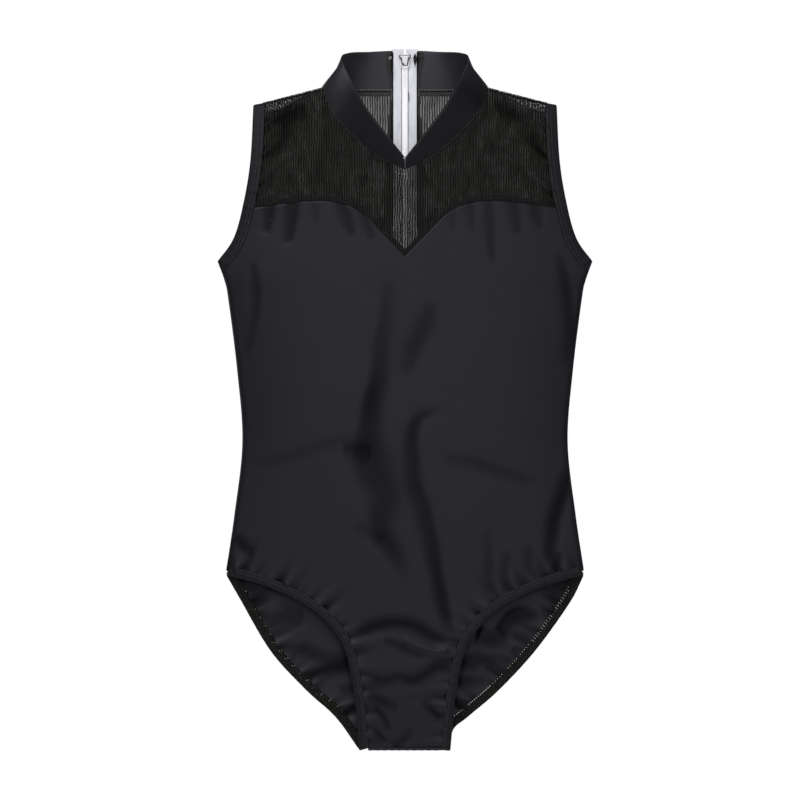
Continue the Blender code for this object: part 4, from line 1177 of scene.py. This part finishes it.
def leg_loop(section, hand, wave):
    edges = [trimmed(line, FOLD_RADIUS, HIP[1] - 0.0015, 130) for line in (FRONT_LEG, LEG_LINES[BACK, hand])]
    folds = np.array((1.0, 0.6)), np.array((0.0, -1.0))
    return mirrored(binding_loop(*edges, section, LEG_BINDING_WIDTH, *folds, wave), hand)


def arm_loop(section, hand, wave):
    """The loop round an armhole, sheared near its top to the shoulder's slope."""
    edge = trimmed(ARMHOLE, ARMPIT[1] + 0.0022, SHOULDER_TIP[1] - FOLD_RADIUS, 110)
    folds = np.array((0.0, 1.0)), np.array((0.5, -0.8))
    loop = binding_loop(edge, edge, section, ARM_BINDING_WIDTH, *folds, wave)
    near_top = np.clip((loop[..., 2] - SHOULDER_TIP[1] + 0.030) / 0.030, 0, 1)
    loop[..., 2] += near_top * SHOULDER_SLOPE * (SHOULDER_TIP[0] - loop[..., 0])
    return mirrored(loop, hand)


def loop_stitches(name, loop, section, share, width, face, material, part_of, size):
    """Stitches along one row of a binding's outer or inner face, all the way round or for a part of it."""
    across = -width / 2 + (width - BINDING_HALF_HEIGHT) * share
    half = len(section) // 2 + 1
    order = np.arange(half) if face > 0 else np.arange(len(section) - 1, len(section) - 1 - half, -1)
    at = np.interp(across, section[order[:FACE_POINTS], 0], np.arange(FACE_POINTS))
    low, part = int(at), at - int(at)
    ring = loop[:, order]
    path = ring[:, low] * (1 - part) + ring[:, low + 1] * part
    middle = (loop[:, 0] + loop[:, -1]) / 2
    along = np.roll(path, -1, axis=0) - np.roll(path, 1, axis=0)
    normal = unit(np.cross(along, ring[:, low + 2] - ring[:, low]))
    facing = ((path - middle) * normal).sum(axis=1, keepdims=True)
    normal = normal * np.where(facing < 0, -1, 1)
    path, normal = np.vstack([path, path[:1]]), np.vstack([normal, normal[:1]])
    first, last = (int(end * len(path)) for end in part_of)
    made = stitches(name, path[first:last], material, **size, normal=normal[first:last])
    still(made, "binding")


def line_inside(made, size, hand):
    """Gives the half of a binding's section that faces the wearer its own material."""
    made.data.materials.append(BINDING_INSIDE)
    column = np.arange(len(made.data.polygons)) % size
    inner = column >= size // 2 if hand < 0 else column < size // 2
    made.data.polygons.foreach_set("material_index", inner.astype(np.int32))


def binding(place, hand, word, width, loop_of, wave):
    """A binding with the two rows of stitches on its outer face."""
    section = binding_section(width)
    loop = loop_of(section, hand, wave)
    made = sweep(f"{place}_bind_{word}", loop if hand < 0 else loop[:, ::-1], BINDING)
    still(made, "binding", f"{place}_binding_{word}")
    for number, share in enumerate(STITCH_ROWS):
        name = f"{place}_stitch_{number}_{word}"
        loop_stitches(name, loop, section, share, width, 1, BLACK_THREAD, (0, 1), BINDING_ROW)
    return made, loop, section


def bindings(hand, word):
    binding("armhole", hand, word, ARM_BINDING_WIDTH, arm_loop, 0.3)
    width = LEG_BINDING_WIDTH
    made, loop, section = binding("leg", hand, word, width, leg_loop, 1.0)
    line_inside(made, len(section), hand)
    for number, (share, part_of, size) in enumerate(BOBBIN_ROWS[hand]):
        name = f"leg_bobbin_{number}_{word}"
        loop_stitches(name, loop, section, share, width, -1, WHITE_THREAD, part_of, size)
    band = sweep(f"leg_band_{word}", leg_loop(elastic_section(width), hand, 0.0), ELASTIC)
    still(band, "elastic", f"leg_elastic_{word}")


# ---------------------------------------------------------------- seam allowances

def side_seams(hand, word):
    """The allowances inside the side and shoulder seams, where the two sheets meet."""
    side = spaced(between(SIDE, HIP[1] + 0.004, ARMPIT[1] - 0.008), 120)
    ends = np.array((NECK_POINT[0] + 0.002, SHOULDER_TIP[0] - 0.006))
    shoulder = spaced(np.stack([ends, shoulder_height(ends) - 0.0008], axis=1), 40)
    seams = (("side", side, inset(side, 0.006)), ("shoulder", shoulder, shoulder - (0, 0.002)))
    for seam, outer, inner in seams:
        edges = [mirrored(xyz(flat[:, 0], 0.0, flat[:, 1]), hand) for flat in (outer, inner)]
        made = strip_between(f"{seam}_allowance_{word}", *edges, ALLOWANCE, BINDING)
        still(made, "lycra", f"{seam}_seam_{word}")


def middle_seams():
    """The back's middle allowance, and the sweetheart seam's, which lies upwards behind the mesh."""
    z = np.linspace(0.008, ZIP_BOTTOM - 0.004, 160)
    edges = [xyz(x, sheet_depth(0 * z, z) - ALLOWANCE, z) for x in (-0.006, 0.006)]
    made = strip_between("back_seam_allowance", *edges, THIN_ALLOWANCE, BINDING)
    still(made, "lycra", "center_back_seam")
    line = both_halves(spaced(np.vstack([SWEETHEART[:-1], YOKE_CORNER]), 100))
    edges = [placed(inset(line, distance), FRONT, -ALLOWANCE) for distance in (-0.001, 0.0045)]
    made = strip_between("sweetheart_allowance", *edges, THIN_ALLOWANCE, BINDING)
    still(made, "lycra")


def shoulder_line(hand, word):
    """The front shoulder seam, which lies a little below the fold because the back yoke comes over it."""
    path = mirrored(on_sheet(spaced(FRONT_SHOULDER_SEAM, 60), FRONT, CLEARANCE), hand)
    made = tube(f"shoulder_line_{word}", path, 0.00055, BINDING, 8)
    still(made, "power_mesh")


# ---------------------------------------------------------------- zip

COIL_EDGE = 0.0033
COIL_HOOK = 0.0005
COIL_PITCH = 0.0012
COIL_TURN = 12
FACING_EDGE = 0.0112
# The facing beside the tape, as (heights), (widths)
FACING_WIDTH = (0.50, 0.58, 0.627, 0.645, 0.656, 0.667), (0.008, 0.0062, 0.0024, 0.0030, 0.0064, 0.0058)
# The right half of the slider's back plate, as (x, z) from the middle of its top
PLATE_LINE = ((0.0, -0.0106), (0.0024, -0.0104), (0.0031, -0.0092), (0.0042, -0.0050), (0.0055, -0.0012),
              (0.0050, -0.0002), (0.0, 0.0))
TACK_LINE = ((-0.0098, 0.5484), (-0.0050, 0.5462), (0.0012, 0.5454))


def zip_tape(hand, word):
    low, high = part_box(f"zip_tape_{word}")
    x = np.linspace(low.x, high.x, 12)
    z = np.linspace(low.z, high.z + 0.003, 240)[:, None]
    wave = 0.00012 * np.sin(z * 260 + hand) * np.abs(x) / 0.012
    points = xyz(x, low.y + wave, z)
    made = cloth_piece(f"tape_{word}", points, points[..., [0, 2]], False, high.y - low.y, TAPE)
    opens(made, hand, "zip_tape", f"zip_tape_{word}")


def zip_coil(hand, word):
    """One side's coil: a nylon thread wound in flat loops, which hook round the middle."""
    low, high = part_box(f"zip_coil_{word}")
    turns = int((high.z - low.z) / COIL_PITCH)
    t = np.linspace(0, turns * 2 * math.pi, turns * COIL_TURN)
    edge_x = COIL_EDGE - 0.0005
    half_x, half_y = (edge_x + COIL_HOOK) / 2, (high.y - low.y) / 2 - 0.0002
    phase = 0 if hand > 0 else math.pi
    x = hand * (edge_x - COIL_HOOK) / 2 + half_x * np.sign(np.cos(t)) * np.abs(np.cos(t)) ** 0.7
    y = (low.y + high.y) / 2 + half_y * np.sin(t)
    z = low.z + 0.0004 + (t + phase) / (2 * math.pi) * COIL_PITCH
    made = tube(f"coil_{word}", xyz(x, y, np.minimum(z, high.z)), 0.00028, NYLON)
    opens(made, hand, "zip_coil", f"zip_coil_{word}")


def zip_cord(hand, word):
    """The dark thread that sews the coil to its tape, along the coil's outer edge. Its dark line also stands
    for the shadow beside the coil's ridge, so it is partly painted shadow.
    """
    low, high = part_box(f"zip_coil_{word}")
    z = np.linspace(low.z, high.z - 0.004, 300)
    x = hand * (COIL_EDGE + 0.00012 * np.sin(z * 190 + hand) + 0.00008 * np.sin(z * 610))
    cover = 0.95 if hand < 0 else 0.65
    made = stitches(f"coil_cord_{word}", xyz(x, high.y - 0.0002, z), CORD_AND_SHADOW, 0.0016, 0.00024, cover)
    opens(made, hand, "zip_coil")


def zip_facing(hand, word):
    """The cloth's raw edge beside the tape, bound by overlock thread that ends in a loop."""
    z = np.linspace(0.500, 0.6670, 200)
    wide = np.interp(z, *FACING_WIDTH) + 0.0006 * np.sin(z * 150 + hand) + 0.0004 * np.sin(z * 410)
    depth = np.interp(z, (0.50, 0.66), (ZIP_Y - 0.0018, ZIP_Y - 0.0022))
    edges = [xyz(hand * (FACING_EDGE + across), depth, z) for across in (0.0, wide)]
    made = strip_between(f"zip_facing_{word}", *edges[::hand], 0.0009, BINDING_INSIDE)
    opens(made, hand, "lycra")
    at = spaced(np.stack([z, wide, depth], axis=1), 900)
    swing = 0.5 + 0.5 * np.sin(np.arange(len(at)) * 2 * math.pi / 12)
    path = xyz(hand * (FACING_EDGE + at[:, 1] * (0.45 + 0.6 * swing)), at[:, 2] - 0.0003, at[:, 0])
    made = tube(f"facing_overlock_{word}", path, 0.00022, GREY_THREAD, 5)
    opens(made, hand, "lycra")
    turn = np.linspace(0, 1.8 * math.pi, 24)
    loop = np.array((hand * 0.0142, depth[-1] - 0.0010, 0.6622 + 0.0008 * hand))
    loop = loop + 0.0012 * xyz(np.cos(turn), 0.0, np.sin(turn))
    made = tube(f"facing_loop_{word}", loop, 0.00022, WHITE_THREAD if hand < 0 else GREY_THREAD, 5)
    opens(made, hand, "lycra")


def neck_seam(hand, word):
    """The collar's seam allowance inside the back neck, with its overlock and a row of paler stitches."""
    line = spaced(smooth((NECK_POINT, *COLLAR_SEAM_BACK))[::-1], 160)
    line = line[(line[:, 0] > 0.0120) & (line[:, 0] < 0.066)]

    def inside(drop, sink):
        return mirrored(placed(line - (0, drop), BACK, -sink), hand)

    edges = (inside(-0.0005, 0.0016), inside(0.0044, 0.0016))
    made = strip_between(f"neck_allowance_{word}", *edges[::hand], ALLOWANCE, BINDING_INSIDE)
    opens(made, hand, "lycra")
    low, high = (spaced(inside(drop, 0.0021), 420) for drop in (0.0044, 0.0006))
    swing = (0.5 + 0.5 * np.sin(np.arange(len(low)) * 2 * math.pi / 17))[:, None]
    made = tube(f"neck_overlock_{word}", low * swing + high * (1 - swing), 0.00030, GREY_THREAD, 5)
    opens(made, hand, "lycra")
    made = stitches(f"neck_stitch_{word}", inside(-0.0014, 0.0022), WHITE_THREAD, 0.0026, 0.00028, 0.30)
    opens(made, hand, "lycra")


def slider_plate():
    """The slider's back plate, wide at its shoulders, with a dark tube round its edge on the tape: painted
    shadow where the plate meets the tape.
    """
    low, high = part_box("zip_slider")
    right = smooth(PLATE_LINE, 6)
    flat = np.vstack([right, mirrored(right[-2:0:-1])])
    middle = flat.mean(axis=0)
    rings = []
    for size, sink in ((0.90, 0.0), (1.0, 0.0003), (1.0, 0.0007)):
        x, z = ((flat - middle) * size + middle).T
        rings.append(xyz(x, low.y - 0.0003 + sink, z + high.z + 0.001))
    # a thin dark tube round the plate's rim: painted shadow on the tape
    gap = np.vstack([rings[-1], rings[-1][:2]])
    still(sweep("slider_plate", rings, ENAMEL, closed=False), "zip_metal", body="slider")
    still(tube("slider_edge_shadow", gap, 0.00028, CORD_AND_SHADOW), "zip_metal", body="slider")


def tape_end():
    """A dark strip where the right tape's top is turned under, which paints the shade in that fold, and a
    knot in the coil's thread.
    """
    low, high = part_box("zip_tape_right")
    count = 30
    z = np.linspace(high.z - 0.0150, high.z - 0.0010, count)
    wide = 0.0016 * np.sin(np.linspace(0, 1, count) ** 1.5 * math.pi)
    edges = [xyz(0.0096 + across, low.y - 0.0007, z) for across in (-wide, wide)]
    # a dark strip: painted shade in the turned-under white tape
    opens(strip_between("tape_fold_shadow", *edges, 0.0004, BINDING), 1, "lycra")
    knot = xyz((0.0033, 0.0036, 0.0039), low.y - np.array((0.0004, 0.0012, 0.0006)), (0.629, 0.626, 0.620))
    opens(tube("cord_knot", spaced(smooth(knot), 20), 0.00036, BLACK_THREAD), 1, "zip_coil")


def tacks():
    """Small white hand stitches where the collar's ends meet and just below."""
    row = placed(smooth(TACK_LINE), FRONT, 0.0012)
    still(stitches("collar_tack_row", row, WHITE_THREAD, 0.0026, 0.00022, 0.26), "zip_tape")
    y = -float(sheet_depth(0.0, 0.561)) - 0.0016
    ends = xyz((-0.0016, -0.0006, 0.0004), (y, y - 0.0004, y), (0.5612, 0.5604, 0.5600))
    still(tube("collar_tack", ends, 0.0003, WHITE_THREAD), "zip_tape")


def zip_metal():
    """The CAD's own metal parts, given rounded edges and enamel."""
    for node in ("zip_slider", "zip_pull_tab", "zip_top_stop_left", "zip_top_stop_right", "zip_bottom_stop"):
        part = frame["nodes"][node]
        part.data.materials.clear()
        part.data.materials.append(ENAMEL)
        bevel = part.modifiers.new("worn_edges", "BEVEL")
        bevel.width = 0.0007
        bevel.segments = 3
        bevel.limit_method = "ANGLE"


# ---------------------------------------------------------------- light, floor and camera

VIEW_WIDTH = 0.760
VIEW_CENTRE = Vector((-0.00475, 0.0, 0.3335))
LENS = 100.0
SENSOR = 36.0
LIGHT_FROM = (0.06, -0.935, 0.34)
FRONT_LIGHT = 1.55
FRONT_FOCUS = 3.0
BACK_LIGHT = 0.55
SURROUND = 0.14
FLOOR_RADIUS = 1.3
FLOOR_HEIGHT = -0.36
FLOOR_SIDES = 96


def world():
    """White where the camera looks past the garment. Its light is a soft surround, brightest in front."""
    made = bpy.data.worlds.new("studio")
    bpy.context.scene.world = made
    made.use_nodes = True
    made.node_tree.nodes.clear()
    nodes = Nodes(made.node_tree)
    direction = nodes.node("ShaderNodeTexCoord").outputs["Generated"]
    ahead = nodes.node("ShaderNodeVectorMath", {0: direction, 1: LIGHT_FROM}, operation="DOT_PRODUCT")
    ahead = ahead.outputs["Value"]
    front = nodes.math("POWER", nodes.math("MAXIMUM", ahead, 0.0), FRONT_FOCUS)
    behind = nodes.math("MAXIMUM", nodes.math("MULTIPLY", ahead, -BACK_LIGHT), 0.0)
    total = nodes.math("ADD", nodes.math("MULTIPLY", front, FRONT_LIGHT), behind)
    total = nodes.math("ADD", total, SURROUND)
    lit = nodes.node("ShaderNodeBackground", {"Color": WHITE, "Strength": total}).outputs[0]
    plain = nodes.node("ShaderNodeBackground", {"Color": WHITE}).outputs[0]
    camera_ray = nodes.node("ShaderNodeLightPath").outputs["Is Camera Ray"]
    mix = nodes.node("ShaderNodeMixShader", {0: camera_ray, 1: lit, 2: plain}).outputs[0]
    nodes.node("ShaderNodeOutputWorld", {0: mix})


def key_lamp():
    light = bpy.data.lights.new("key", "AREA")
    light.shape = "DISK"
    light.size = 1.2
    light.energy = 14
    made = bpy.data.objects.new("key", light)
    made.location = (-0.9, -1.6, 1.7)
    made.rotation_euler = (VIEW_CENTRE - made.location).to_track_quat("-Z", "Y").to_euler()
    bpy.context.scene.collection.objects.link(made)


def floor():
    """A pale floor some way below the hanging garment, which fades into the white surround."""
    angle = np.linspace(0, 2 * math.pi, FLOOR_SIDES, endpoint=False)
    ring = xyz(FLOOR_RADIUS * np.cos(angle), FLOOR_RADIUS * np.sin(angle), FLOOR_HEIGHT)
    shader = Shader("floor", (0.9, 0.9, 0.9), 0.9, 0.1)
    place = shader.node("ShaderNodeTexCoord").outputs["Object"]
    away = shader.node("ShaderNodeVectorMath", {0: place}, operation="LENGTH").outputs["Value"]
    ends = {"From Min": 0.3, "From Max": FLOOR_RADIUS * 0.97}
    fade = shader.node("ShaderNodeMapRange", {"Value": away, **ends}).outputs[0]
    clear = shader.node("ShaderNodeBsdfTransparent").outputs[0]
    mix = shader.node("ShaderNodeMixShader", {0: fade, 1: shader.surface.outputs[0], 2: clear}).outputs[0]
    shader.join(shader.tree.nodes["Material Output"].inputs["Surface"], mix)
    shader.set("Emission Color", WHITE)
    shader.set("Emission Strength", 0.35)
    new_object("floor", ring, [list(range(FLOOR_SIDES))], ring[:, :2], shader.material)


def camera():
    lens = bpy.data.cameras.new("camera")
    lens.lens = LENS
    lens.sensor_width = SENSOR
    made = bpy.data.objects.new("camera", lens)
    bpy.context.scene.collection.objects.link(made)
    made.location = VIEW_CENTRE - Vector((0, VIEW_WIDTH * LENS / SENSOR, 0))
    made.rotation_euler = (math.radians(90), 0, 0)
    bpy.context.scene.camera = made


# ---------------------------------------------------------------- the whole garment

def build():
    body()
    front_yoke()
    gusset()
    crotch_strip()
    for hand, word in HANDS.items():
        for piece in (back_yoke, collar, bindings, side_seams, shoulder_line):
            piece(hand, word)
        for piece in (zip_tape, zip_coil, zip_cord, zip_facing, neck_seam):
            piece(hand, word)
    middle_seams()
    slider_plate()
    tape_end()
    tacks()
    zip_metal()
    for part_of_studio in (world, floor, camera, key_lamp):
        part_of_studio()
    bpy.context.scene.view_settings.view_transform = "Standard"


build()
